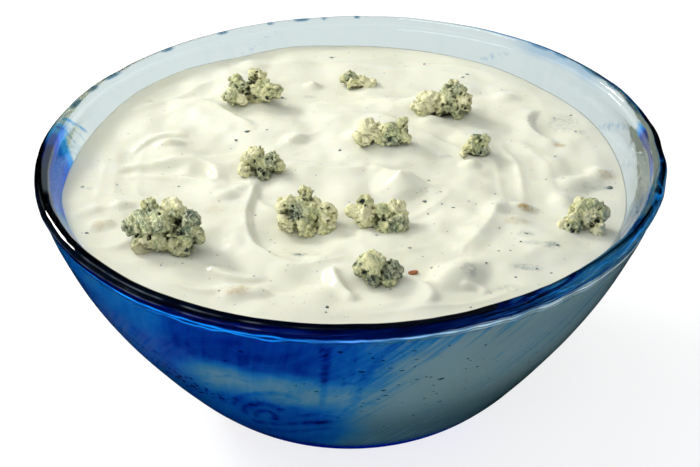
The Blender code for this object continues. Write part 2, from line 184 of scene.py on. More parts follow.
# Folds: the places they pass, how wide they are on the left and right of their way, and height
FOLDS = (
    (((-19.5, 3), (-21, -6), (-22.5, -16), (-21.5, -26), (-18, -33), (-12, -37.5), (-5, -37.5),
      (0, -34)), 1.7, 6.5, 1.1),
    (((-53, 2), (-46, 0.8), (-39, -0.5), (-33, -2.5), (-29.5, -4.5)), 2.4, 2, 0.7),
    (((-53, 2.5), (-50, 6), (-44, 6.3), (-38, 6.8), (-34, 6), (-31, 3.5), (-29.5, -1),
      (-29.5, -4.5)), 3, 1.6, 0.8),
    (((-50, 11.5), (-46, 16), (-42, 18.5), (-37, 18.5)), 3.5, 1.2, 0.8),
    (((-44, 35), (-38, 35.5), (-33, 33.5), (-27, 27), (-21, 20.5)), 1.8, 8, 1.1),
    (((-58, -28), (-53, -30.5), (-48, -30), (-44, -28)), 1.6, 2, 0.8),
    (((-37, -44), (-33, -46.5), (-28, -47), (-24, -45)), 2, 1.4, 0.6),
    (((-30, -38), (-27, -41.5), (-22, -43), (-17, -42)), 6, 1.5, 0.9),
    (((-4, -40), (-3.5, -44), (-1.5, -48), (1, -52)), 2.2, 2.2, 1.3),
    (((6, -43), (11, -44), (15, -47), (16.5, -51), (15, -55)), 1.8, 5.5, 1.1),
    (((45, 30), (42.5, 26), (42.5, 21), (45.5, 17), (49, 14.5)), 1.6, 5, 0.9),
    (((22.5, -47), (26, -47.3), (28, -49)), 2, 1.2, 0.8),
    (((22, -35), (27, -28), (31, -20), (33, -12)), 5, 4, 0.9),
    (((-16, 4), (-8, 2), (0, 1.5), (7, 3)), 4, 3, 0.6),
    (((4, 2), (9, 0), (13, -4), (20, -9)), 6, 2.6, 0.7),
)
RIPPLES = ((14.0, 0.8), (7.0, 0.55), (3.6, 0.20))  # length and height of the small unevenness
STROKES = (6.0, 20.0, 0.45)  # marks of stirring round the bowl: width, length and height

BOLDNESS = 1.3  # all lumps and folds are this much higher than the tables say
SPREADING = 1.25  # and the lumps are this much wider

# Where sunk cheese shows through the cream: across, back, half width, half depth, strength
STAINS = (
    (-23, -48.6, 2.8, 1.8, 0.55), (-54.2, -22.6, 1.6, 2.2, 0.4), (-51.5, -21, 1.4, 1.6, 0.3),
    (38.2, -15.4, 2, 1, 1), (35.2, -22.2, 2.8, 1.4, 0.3), (48.6, 13.6, 1.6, 0.7, 0.9),
    (-41.2, 13.6, 1.6, 0.9, 0.2), (58, 1.6, 2.2, 1.4, 0.45), (-29, -15, 3, 2, 0.2),
)
# Where mould shows through as a grey-green cloud: the same
CLOUDS = (
    (50.5, 24, 4, 4.5, 0.35), (54, 20, 1.4, 1.2, 0.5), (42.5, -31, 1.9, 1.4, 0.8),
    (39, -30.5, 2.6, 1, 0.4), (36.5, -39.2, 3.4, 1.1, 0.55), (37.5, -27, 2, 1.2, 0.45),
    (24.5, -43, 1.6, 2, 0.6), (32, -47, 2.6, 1.6, 0.35), (54.5, -3.5, 2.4, 1, 0.4),
    (-10.5, -33, 1.9, 1, 0.7), (-16, 37, 1.3, 0.6, 0.6), (-9.5, 37.6, 2, 0.8, 0.35),
    (-47, 35, 1.6, 0.6, 0.4), (22, 7.2, 1.8, 0.8, 0.4), (-58.5, -4.5, 1.4, 0.8, 0.4),
    (58, -3, 1.5, 0.8, 0.6),
)

# Flecks of mould on the dip: across, back, length and how dark
FLECKS = (
    (-23.5, 19.5, 2, 0.9), (-26, 17, 1.5, 0.8), (-19, 20, 0.9, 0.5), (-16, 37, 1.7, 0.5),
    (-2, 9.5, 1.4, 0.8), (-38, 9, 0.6, 0.6), (-42, 3, 0.5, 0.8), (-38, -3.4, 0.8, 0.8),
    (-59.5, -3.8, 1.2, 0.6), (-52, -2.5, 0.8, 0.3), (-20.5, -16.5, 0.8, 0.8), (-17, -26, 0.6, 0.6),
    (-16, -27.2, 0.5, 0.5), (-17.2, -32.2, 1, 0.9), (-17, -34.2, 0.5, 0.6), (-11, -33, 1.8, 0.5),
    (-35, -37.5, 0.7, 0.9), (-39.5, -37.8, 0.6, 0.4), (-20, -42, 0.8, 0.8),
    (-56.3, -24.5, 1.4, 0.8), (-5, -54.5, 1.4, 0.8), (-5.2, -56.3, 1, 0.4), (-27, -47.6, 0.6, 0.8),
    (-16.5, -43, 0.6, 0.4), (28, 46, 1.4, 0.3), (29.2, 47.5, 1.2, 0.4), (37, 40, 0.7, 0.3),
    (17.6, -3, 1.3, 0.9), (44, -2, 0.9, 0.3), (58.2, -3, 2, 0.6), (32, -9.5, 0.8, 0.6),
    (20, -9.3, 0.8, 0.3), (16.5, -12.2, 1.6, 0.5), (20, -14.5, 1, 0.5), (22.5, -16, 1.1, 0.6),
    (17, -17.2, 0.7, 0.5), (26, -13, 0.6, 0.4), (31, -16.4, 0.8, 0.4), (31.8, -25, 0.7, 0.5),
    (36, -30, 0.9, 0.9), (37.4, -26.8, 1.4, 0.4), (43.6, -31, 1.5, 0.7), (31, -34, 0.8, 0.5),
    (33.5, -33.8, 0.7, 0.5), (28, -38.6, 1.1, 0.5), (38.6, -39.4, 1, 0.6), (41.6, -40.6, 0.9, 0.9),
    (50, -36.8, 0.7, 0.9), (12.4, -32, 1.3, 0.4), (16.8, -39.6, 1, 0.4), (18.2, -40.6, 0.6, 0.7),
    (5.6, -27.2, 1, 0.5), (34, -43, 1, 0.4), (24, -54, 0.8, 0.5), (8, -48, 0.9, 0.3),
    (47, 8.6, 1, 0.5), (52.5, 28, 1, 0.4), (53, 20.4, 1, 0.5), (48.5, 26.5, 0.8, 0.4),
    (-4, 57, 1.4, 0.3), (19, 54, 0.9, 0.4), (9, 48.5, 0.5, 0.5), (47.5, -21, 0.5, 0.6),
    (27.5, -14, 0.6, 0.6),
)
MORE_FLECKS = 240  # fine ones at random places
FLECKED_RADIUS = 60  # and how far out they lie, in millimetres
SPICE = (12.9, -41.0, 2.4, 0.15)  # the one red-brown flake: across, back, length and turn
# Specks of mould at the glass: angle round the bowl, height and width
WALL_SPECKS = (
    (271.9, 45.6, 1.3), (279.5, 45, 1.1), (279.2, 40.1, 1), (271.9, 39.5, 0.8), (276.4, 38.6, 1.1),
    (275.6, 35.2, 0.8), (276.9, 36.4, 1.3), (285.5, 33.1, 0.9), (278, 21.4, 0.7), (273.8, 50, 0.7),
    (281.1, 51.1, 1), (287.6, 51, 0.7), (295, 41.3, 0.7), (287.8, 40, 1.6), (287, 35.4, 0.7),
    (282.7, 41.2, 0.9), (268.6, 43.3, 0.6), (304, 43.7, 0.7), (295.1, 48.5, 0.7),
    (295.9, 43.5, 0.6), (292.2, 45.2, 0.7), (267.9, 52, 1.4), (263.2, 38.5, 1.2),
    (265.1, 29.6, 0.8), (249.9, 49.5, 1.3), (245.9, 45.2, 0.8), (261.1, 41.1, 0.6),
)

MORE_WALL_SPECKS = 150  # at random places all round
MORE_FRONT_SPECKS = 22  # and in front
FLECK_DEPTH = 0.16 * MM

# The crumbles. Each is a heap on a slope that faces the front: the front of its foot on the dip,
# its core (across, behind, above the dip, radius), its lumps (across, up the slope, radius, tone)
# and its dark pits (across, up, radius). A tone of 0 is cream-yellow and 1 is grey-green mould.
SLOPE = math.radians(46)
FRONT_TILT = math.radians(29.6)  # the pits are placed as seen from this far above
CRUMBLES = {
    "crumble_front_left": (
        (-39.4, -34.3), (0.5, 8, 2.2, 4.2),
        ((-4.3, 6.8, 3.3, 0.75), (0, 7.2, 3.5, 0.62), (5, 7.4, 2.7, 0.9), (6, 4.4, 2.3, 0.7),
         (3.6, 2.6, 2.6, 0.5), (-4.2, 2.8, 2.3, 0.12), (-0.6, 3.9, 2.6, 0.5),
         (-7.1, 6.9, 1.7, 0.85), (-3, 11.2, 1.8, 0.45), (1.2, 10.8, 2, 0.05), (3.2, 9.9, 1.6, 0.1),
         (7.3, 3.9, 1.2, 0.1)),
        ((-3.4, 11.5, 0.9), (-7.5, 6.9, 0.9), (3.2, 7, 1.1), (3.4, 5.2, 1.2), (7.6, 5.7, 0.5),
         (5.2, 1.9, 1.2), (2.4, 4.6, 0.9), (-0.8, 9.6, 0.7), (-2.6, 4.4, 0.9), (-6, 6.2, 0.4),
         (-5.2, 4.8, 0.8), (1.1, 7.6, 0.25), (5.4, 8.8, 0.5)),
    ),
    "crumble_middle": (
        (-9.8, -24.6), (0.4, 6, 2, 3.4),
        ((0, 10.2, 1.5, 0.3), (-0.1, 8.3, 2, 0.4), (-3.9, 7.8, 2.1, 0.2), (-2.4, 5.8, 2.2, 0.85),
         (1.2, 6, 2.2, 0.45), (4.2, 5, 2.5, 0.3), (-4.3, 3.2, 1.9, 0.08), (0, 2.3, 2.1, 0.35),
         (4.4, 2.3, 1.6, 0.5), (2.4, 7.8, 1.1, 0.3)),
        ((-3.2, 5.8, 1.1), (-1.8, 5.2, 0.9), (4.6, 3.9, 0.4), (3.6, 6.6, 0.6), (5, 6.8, 0.7),
         (-1.2, 4.4, 0.8), (1.6, 7, 0.4), (-2.9, 7.4, 0.6)),
    ),
    "crumble_middle_right": (
        (6, -24.6), (0, 5, 1.2, 2.9),
        ((-3, 4.6, 2.5, 0.12), (-3.1, 7.1, 1.8, 0.5), (-5.6, 5.5, 1.4, 0.1), (0.9, 5, 2.1, 0.55),
         (3, 3, 2.6, 0.65), (1, 1.9, 1.9, 0.6), (4, 6.1, 1.9, 0), (5.2, 4.2, 1.2, 0.2)),
        ((-3.6, 7.8, 1.2), (-0.9, 6.3, 0.7), (-1, 4, 0.6), (-4.4, 3.2, 0.7), (-2.6, 6.7, 0.6),
         (2.4, 4.2, 0.5), (0, 1.2, 0.5)),
    ),
    "crumble_front": (
        (5.3, -47.1), (-0.6, 4.6, 1.4, 2.8),
        ((-1.5, 4.6, 3, 0.35), (-3.4, 4.2, 1.8, 0.7), (2.8, 3.6, 2, 0.95), (2.4, 1.9, 1.6, 0.6),
         (-0.9, 2.4, 1.9, 0.9)),
        ((3.2, 4.2, 0.9), (2.4, 5.2, 0.6), (-1, 2, 1.3), (-3.8, 5, 0.7), (-3, 2.8, 0.9),
         (0.6, 2, 0.7), (-2.4, 3.4, 0.5)),
    ),
    "crumble_right": (
        (50, -24.5), (0.2, 4.6, 2.6, 2.5),
        ((-2.4, 4.4, 1.9, 0.35), (-0.4, 6.4, 2.1, 0.4), (1.9, 6.3, 2.1, 0.5), (3.5, 5.3, 1.7, 0.75),
         (1.2, 4.2, 1.9, 0.1), (-2.3, 1.9, 1.8, 0.7), (3, 1.9, 1.6, 0.05), (-4.5, 3, 1.1, 0)),
        ((-2.4, 1.6, 0.9), (2.9, 3.1, 0.6), (1.1, 7.3, 0.35), (-3.6, 2.6, 0.6), (-0.8, 4.6, 0.5),
         (3.4, 6, 0.7), (1.4, 2.4, 0.4)),
    ),
    "crumble_back_left": (
        (-22.9, 31.1), (0.4, 5.6, 1.2, 3),
        ((-4, 6.8, 1.7, 0.6), (-2.8, 5.4, 1.8, 0.85), (-4.9, 2.9, 2.1, 0.5), (-2.6, 2.4, 1.7, 0.15),
         (0.1, 8.1, 1.5, 0.45), (1.8, 8.2, 1.6, 0.4), (2.4, 6.4, 1.7, 0.25), (1, 4.6, 1.5, 0.3),
         (3.6, 4, 2.1, 0.3), (5.7, 4.2, 1.6, 0.4)),
        ((-0.4, 6.1, 1.1), (-2.2, 5.8, 0.9), (0.6, 2.4, 1.4), (-4.6, 6.2, 0.6), (-5.6, 1, 0.5),
         (3.6, 2.8, 0.9), (1.4, 8.8, 0.4)),
    ),
    "crumble_left": (
        (-20, -1.3), (0, 4.2, 1.6, 2.5),
        ((-1, 6.9, 1.7, 0.15), (-3, 5.4, 1.5, 0.3), (-3.2, 2.7, 1.9, 0.12), (-0.8, 4.4, 2.1, 0.6),
         (1.8, 3.8, 2.1, 0.75), (0.4, 1.9, 1.9, 0.9), (2.6, 5.4, 1.3, 0.6), (3.9, 3.6, 1.3, 0.2)),
        ((2.8, 5.6, 0.6), (1.3, 5.3, 0.5), (1, 1.4, 1.1), (-0.4, 3.2, 0.6), (-3, 6.4, 0.5),
         (0.6, 2.6, 0.6), (-1.8, 4.6, 0.6), (-2.4, 1.9, 0.4)),
    ),
    "crumble_back": (
        (2.4, 40.9), (0.2, 3, 0.8, 1.7),
        ((-2, 4.1, 1.5, 0.6), (-3.3, 3.7, 1, 0.5), (-1.3, 2.2, 1.7, 0.25), (0.9, 2.8, 1.5, 0),
         (2.7, 2.2, 1.4, 0.02)),
        ((-2.7, 3.4, 0.6), (0.6, 0.9, 0.7), (2.4, 0.8, 0.8), (-2.2, 4.4, 0.5)),
    ),
    "crumble_back_right": (
        (21.1, 24), (1, 6.6, 1.6, 3.4),
        ((-2.6, 4.9, 2.8, -0.1), (-4.5, 3.7, 2, 0.15), (-3.7, 2.1, 1.6, 0.1), (-0.7, 4, 2.1, 0.15),
         (2.4, 7, 2.2, 0.6), (4.5, 7, 2, 0.7), (3.3, 9, 1.4, 0.4), (2, 4.3, 2.2, 0.55),
         (5.7, 4.7, 2.3, 0.35), (4, 2.4, 2, 0.5)),
        ((-1.2, 1.9, 1.2), (3, 8.6, 0.6), (2.6, 7.1, 0.5), (4.2, 3.2, 0.7), (6.6, 3.2, 0.9),
         (1, 4, 0.5), (2.4, 1.4, 0.9), (5.2, 6.4, 0.6), (3.6, 5, 0.5)),
    ),
    "crumble_centre": (
        (6.7, 10.3), (0.6, 5, 0.4, 2.6),
        ((-2, 4.4, 2.4, -0.2), (-4, 2.9, 1.8, 0.05), (-3.4, 1.4, 1.3, 0.05), (-0.6, 2.8, 1.9, 0.2),
         (3, 3.2, 2.2, 0.6), (4.9, 3.6, 1.9, 0.45), (5.5, 5.4, 1.4, 0.55), (3.4, 1.5, 1.6, 0.85),
         (5.9, 2.4, 1.4, 0.5), (1.4, 2, 1.6, 0.7)),
        ((-1.4, 1.2, 1.1), (2.6, 2, 0.9), (5.9, 5.2, 0.7), (4.6, 1.2, 0.7), (1.6, 3, 0.4),
         (6.4, 3.8, 0.5)),
    ),
    "crumble_small_right": (
        (28.4, 6.8), (0.2, 2.8, 1.2, 1.7),
        ((0.2, 4, 1.9, 0.6), (-1.2, 2.3, 1.7, 0.3), (1.4, 2.4, 1.6, 0.75), (-2.6, 1.2, 1, 0.15),
         (2.2, 4.6, 0.8, 0.7)),
        ((1.4, 4.3, 0.6), (-0.4, 1.7, 0.8), (1.2, 1.4, 0.7), (2, 3, 0.5)),
    ),
}
CUBE_CORNERS = [np.array(corner) for corner in np.ndindex(2, 2, 2)]
VOXEL = 0.20 * MM  # grain of the crumbles' meshes
SMOOTHINGS = 28  # how often a crumble's skin is smoothed, to tell hollows from edges

# Noise in the ink: steps along and across the strokes, slant, distortion, low and high end
INK_PATTERNS = {
    "clouds": ((13.0, 7.0), 25, 1.2, 0.38, 0.62),
    "strokes": ((22.0, 2.2), 76, 0.7, 0.36, 0.66),
    "threads": ((30.0, 1.3), 48, 0.4, 0.40, 0.66),
    "streaks": ((9.0, 0.55), 3, 0.9, 0.36, 0.64),
}
# Colours that follow a value, as stops of position and colour
INK_COLOURS = (
    (0.0, (0.20, 0.36, 0.53)), (0.25, (0.06, 0.27, 0.58)), (0.45, (0.004, 0.17, 0.74)),
    (0.65, (0.001, 0.055, 0.56)), (0.80, (0.0003, 0.010, 0.28)), (0.90, (0.0, 0.0004, 0.06)),
    (0.96, (0.0, 0.00001, 0.011)), (1.0, (0.0002, 0.0002, 0.0006)),
)
# Tint of the smoke: mostly painted shade of the dip behind the wall, and painted dark reflections
# on the rim
SMOKE_SHADE_AND_REFLECTION_COLOURS = ((0.0, (0.60, 0.685, 0.685)), (0.5, (0.25, 0.40, 0.54)), (1.0, (0.06, 0.15, 0.26)))
CREAM_COLOURS = ((0.3, (0.84, 0.842, 0.672)), (0.7, (0.912, 0.915, 0.768)))
CHEESE_COLOURS = (
    (0.0, (0.95, 0.91, 0.56)), (0.22, (0.80, 0.77, 0.37)), (0.42, (0.57, 0.60, 0.28)),
    (0.62, (0.39, 0.44, 0.22)), (0.82, (0.22, 0.285, 0.17)), (1.0, (0.09, 0.14, 0.11)),
)
FLECK_COLOURS = ((0.0, (0.50, 0.54, 0.46)), (0.5, (0.24, 0.30, 0.27)), (1.0, (0.05, 0.08, 0.075)))
SPICE_COLOURS = ((0.3, (0.30, 0.10, 0.03)), (0.7, (0.46, 0.20, 0.08)))
BLACK = (0.0, 0.0, 0.0)
WHITE = (1.0, 1.0, 1.0)
PALE_THREAD = (0.60, 0.70, 0.75)
VIOLET = (0.17, 0.19, 0.50)
# painted shade: the deepest smoke is darkened further by this colour
DEEP_SMOKE_SHADE_AND_REFLECTION = (0.46, 0.60, 0.66)
# colours of the painted glow of the glass, which is emission
BLUE_PAINTED_GLOW = (0.008, 0.30, 0.95)
PALE_PAINTED_GLOW = (0.50, 0.62, 0.68)
FOOT_PAINTED_GLOW = (0.0, 0.004, 0.13)
FLOOR_GREY = (0.32, 0.32, 0.32)

# The lamps: name, spot, size, power, colour and whether it shows in gloss
LIT_POINT = Vector((0.0, 0.0, 0.05))
LIGHTS = (
    ("key", (-0.60, 0.50, 0.52), (0.22, 0.15), 3.9, (1.0, 0.985, 0.95), True),
    ("window", (-0.46, 0.30, 0.46), (0.7, 0.5), 2.6, (1.0, 0.985, 0.955), False),
    ("top", (0.05, 0.25, 1.1), (0.9, 0.7), 0.7, WHITE, False),
    ("side", (-0.75, -0.75, 0.12), (0.9, 0.5), 9.0, (0.93, 0.97, 1.0), False),
    ("right", (0.8, -0.6, 0.10), (0.9, 0.4), 1.5, (0.93, 0.97, 1.0), False),
)

# The view of the photograph
CAMERA_DISTANCE = 450.0 * MM  # from the middle of the rim
CAMERA_ELEVATION = math.radians(29.6)
CAMERA_AIM = Vector((-0.3, 0.0, 38.2)) * MM
CAMERA_ROLL = math.radians(1.0)
CAMERA_LENS = 103.9
CAMERA_SENSOR = 36.0


# Small helpers for shapes

def bell(distance):
    """1 where the distance is 0, falling smoothly to 0 where it is 1 or more."""
    return np.clip(1 - np.asarray(distance) ** 2, 0, 1) ** 2


def smooth_step(value, low, high):
    """0 below low, 1 above high, and a smooth rise between them."""
    share = np.clip((np.asarray(value, float) - low) / (high - low), 0, 1)
    return share * share * (3 - 2 * share)


def scatter(cells_at, seed):
    """A repeatable random number from 0 to 1 for each whole-numbered cell."""
    x, y, z = (cells_at[:, i].astype(np.int64) & 0xFFFFFFFF for i in range(3))
    mixed = (x * 374761393 + y * 668265263 + z * 2246822519 + int(seed) * 3266489917) & 0xFFFFFFFF
    mixed = ((mixed ^ (mixed >> 15)) * 2246822519) & 0xFFFFFFFF
    mixed = ((mixed ^ (mixed >> 13)) * 3266489917) & 0xFFFFFFFF
    return (mixed ^ (mixed >> 16)) / 0xFFFFFFFF


def noise_at(points, length, seed=0):
    """Smooth noise from -1 to 1 at each point, with waves of this length."""
    places = np.asarray(points, float) / length
    cell = np.floor(places)
    part = places - cell
    fade = part ** 3 * (part * (part * 6 - 15) + 10)
    total = np.zeros(len(places))
    for corner in CUBE_CORNERS:
        weight = np.where(corner, fade, 1 - fade).prod(axis=1)
        total += weight * scatter(cell + corner, seed)
    return 2.2 * total - 1.1


def cell_distance(points, size, seed):
    """The distance to the nearest of scattered points, as a share of their spacing."""
    places = np.asarray(points, float) / size
    cell = np.floor(places)
    nearest = np.full(len(places), 9.0)
    for step in np.ndindex(3, 3, 3):
        near = cell + np.array(step) - 1
        spot = near + np.stack([scatter(near, seed + k) for k in range(3)], 1)
        nearest = np.minimum(nearest, np.linalg.norm(places - spot, axis=1))
    return nearest


def vectors_of(mesh, kind):
    """The place ("co") or the direction ("normal") of each vertex, as rows of an array."""
    values = np.zeros(len(mesh.vertices) * 3)
    mesh.vertices.foreach_get(kind, values)
    return values.reshape(-1, 3)


def put_points(mesh, points):
    """Moves the mesh's vertices to these points."""
    mesh.vertices.foreach_set("co", np.asarray(points, float).ravel())
    mesh.update()


def finished_mesh(bm, name):
    """A mesh of this name from what was built."""
    mesh = bpy.data.meshes.new(name)
    bm.to_mesh(mesh)
    bm.free()
    return mesh


def put_attribute(mesh, name, values):
    """Keeps one number for each vertex, for the material to read."""
    layer = mesh.attributes.new(name, "FLOAT", "POINT")
    layer.data.foreach_set("value", np.asarray(values, np.float32))


def link(name, data):
    """An object of this name in the scene."""
    made = bpy.data.objects.new(name, data)
    bpy.context.scene.collection.objects.link(made)
    return made


def new_piece(name, mesh, material, slot, *nodes):
    """An object of this mesh that rides on the body and stands for these nodes of the frame."""
    mesh.name = name
    mesh.materials.clear()
    mesh.materials.append(material)
    for polygon in mesh.polygons:
        polygon.use_smooth = True
    piece = link(name, mesh)
    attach(piece, BODY)
    if nodes:
        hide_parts(*nodes)
    return piece


def turned_mesh(name, profile, turns):
    """Turns a profile of radius and height round the Z axis: one eighth, then copies of it."""
    bm = bmesh.new()
    verts = [bm.verts.new((radius, 0.0, height)) for radius, height in profile]
    edges = [bm.edges.new(pair) for pair in zip(verts, verts[1:])]
    bmesh.ops.spin(
        bm, geom=verts + edges, axis=(0, 0, 1), cent=(0, 0, 0),
        angle=math.tau / 8, steps=turns // 8, use_merge=False,
    )
    for angle in (math.tau / 8, math.tau / 4, math.tau / 2):
        copy = bmesh.ops.duplicate(bm, geom=bm.verts[:] + bm.edges[:] + bm.faces[:])["geom"]
        moved = [part for part in copy if isinstance(part, bmesh.types.BMVert)]
        bmesh.ops.rotate(bm, verts=moved, cent=(0, 0, 0), matrix=Matrix.Rotation(angle, 3, "Z"))
    bmesh.ops.remove_doubles(bm, verts=bm.verts, dist=SAME_POINT)
    bmesh.ops.recalc_face_normals(bm, faces=bm.faces)
    return finished_mesh(bm, name)


# The bowl's section

def curve_through(stations, height):
    """The radius at each height: a smooth curve through stations in millimetres."""
    heights = np.array([station[0] for station in stations]) * MM
    radii = np.array([station[1] for station in stations]) * MM
    last = len(heights) - 1
    before = np.maximum(np.arange(last + 1) - 1, 0)
    after = np.minimum(np.arange(last + 1) + 1, last)
    slopes = (radii[after] - radii[before]) / (heights[after] - heights[before])
    height = np.clip(np.asarray(height, float), heights[0], heights[-1])
    i = np.clip(np.searchsorted(heights, height, side="right") - 1, 0, last - 1)
    span = heights[i + 1] - heights[i]
    t = (height - heights[i]) / span
    start = (2 * t ** 3 - 3 * t ** 2 + 1) * radii[i] + (t ** 3 - 2 * t ** 2 + t) * span * slopes[i]
    end = (3 * t ** 2 - 2 * t ** 3) * radii[i + 1] + (t ** 3 - t ** 2) * span * slopes[i + 1]
    return start + end


def outer_radius(height):
    """The bowl's outer radius at each height."""
    return curve_through(OUTSIDE, height)


def inner_radius(height):
    """The radius of the bowl's inside at each height, rounded into the floor."""
    height = np.asarray(height, float)
    top = curve_through(INSIDE, FLOOR + FLOOR_CURVE)
    turn = np.clip((height - FLOOR) / FLOOR_CURVE, 0, 1)
    curved = top * (FLOOR_FLAT + (1 - FLOOR_FLAT) * np.sqrt(1 - (1 - turn) ** 2))
    return np.where(height < FLOOR + FLOOR_CURVE, curved, curve_through(INSIDE, height))


def inside_line(top, rings, shift=0.0):
    """Radius and height of points up the bowl's inside, moved outwards by a shift."""
    line = []
    for turn in np.linspace(0, math.pi / 2, FLOOR_STEPS):
        height = FLOOR + FLOOR_CURVE * (1 - math.cos(turn))
        line.append((float(inner_radius(height)) + shift, height - shift * math.cos(turn)))
    for height in np.linspace(FLOOR + FLOOR_CURVE, top, rings)[1:]:
        line.append((float(inner_radius(height)) + shift, float(height)))
    return line


def lean_shift(height):
    """How far the body stands to the left at this height."""
    return LEAN * np.sin(math.pi * np.clip(height / BOWL_HEIGHT, 0, 1))


def lean_over(points):
    """The hand-made bowl is not quite true: its body stands to the left of its rim and foot."""
    points[:, 0] -= lean_shift(points[:, 2])
    return points


# The materials

def new_material(name):
    """A material with a Principled shader: the material, its tree and the shader."""
    material = bpy.data.materials.new(name)
    material.use_nodes = True
    return material, material.node_tree, material.node_tree.nodes["Principled BSDF"]


def fill_in(tree, node, *links):
    """Gives a node its inputs. Each link is an input's name or number and a value or an output."""
    for name, value in links:
        socket = node.inputs[name]
        if isinstance(value, bpy.types.NodeSocket):
            tree.links.new(value, socket)
        elif socket.type == "RGBA":
            socket.default_value = (*value, 1.0)
        else:
            socket.default_value = value


def add(tree, kind, *links, **settings):
    """A node of this kind with its settings and inputs."""
    node = tree.nodes.new(kind)
    for key, value in settings.items():
        setattr(node, key, value)
    fill_in(tree, node, *links)
    return node


def calculate(tree, operation, first, second, third=0.0, clamp=False):
    """The result of a calculation with two or three numbers."""
    links = ((0, first), (1, second), (2, third))
    return add(tree, "ShaderNodeMath", *links, operation=operation, use_clamp=clamp).outputs[0]


def attribute(tree, name):
    """The number that each vertex of the piece keeps under this name."""
    return add(tree, "ShaderNodeAttribute", attribute_name=name).outputs["Fac"]


def steps_of(tree, vector, size, turn):
    """A place that is counted in steps of this size along turned axes."""
    links = (("Vector", vector), ("Scale", size), ("Rotation", turn))
    return add(tree, "ShaderNodeMapping", *links, vector_type="TEXTURE").outputs[0]


def place(tree, size=(1.0, 1.0, 1.0), turn=(0.0, 0.0, 0.0)):
    """The place on the piece, in steps of this size in millimetres along turned axes."""
    coordinates = add(tree, "ShaderNodeTexCoord").outputs["Object"]
    return steps_of(tree, coordinates, tuple(value * MM for value in size), turn)


def drawn(tree, size, slant):
    """The place on the wall of the bowl, in steps along and across strokes of this slant."""
    flow = add(tree, "ShaderNodeAttribute", attribute_name="flow").outputs["Vector"]
    return steps_of(tree, flow, (*size, 1.0), (0.0, 0.0, math.radians(slant)))


def grain(tree, vector, length=1.0, detail=2.0, roughness=0.5, distortion=0.0):
    """Noise from 0 to 1 with waves of this length in steps of its place."""
    links = (("Vector", vector), ("Scale", 1 / length), ("Detail", detail),
             ("Roughness", roughness), ("Distortion", distortion))
    return add(tree, "ShaderNodeTexNoise", *links).outputs["Fac"]


def cells(tree, vector, length):
    """The distance to the nearest of scattered points, this far apart."""
    links = (("Vector", vector), ("Scale", 1 / length))
    return add(tree, "ShaderNodeTexVoronoi", *links).outputs["Distance"]


def spread(tree, value, low, high, to_low=0.0, to_high=1.0):
    """The value stretched from one range to another, and kept within it."""
    links = ((0, value), (1, low), (2, high), (3, to_low), (4, to_high))
    return add(tree, "ShaderNodeMapRange", *links).outputs[0]


def ramp(tree, value, *stops):
    """The colour that belongs to a value, from stops of position and colour."""
    node = add(tree, "ShaderNodeValToRGB", (0, value))
    elements = node.color_ramp.elements
    while len(elements) < len(stops):
        elements.new(0.5)
    for element, (position, colour) in zip(elements, stops):
        element.position = position
        element.color = (*colour, 1.0)
    return node.outputs[0]


def blend(tree, share, first, second, way="MIX"):
    """Two colours mixed. The share is that of the second."""
    links = ((0, share), (6, first), (7, second))
    return add(tree, "ShaderNodeMix", *links, data_type="RGBA", blend_type=way).outputs[2]


def raised(tree, height, distance, strength=1.0):
    """The direction of a surface that stands out by a height of 0 to 1 times a distance."""
    links = (("Height", height), ("Distance", distance), ("Strength", strength))
    return add(tree, "ShaderNodeBump", *links).outputs[0]


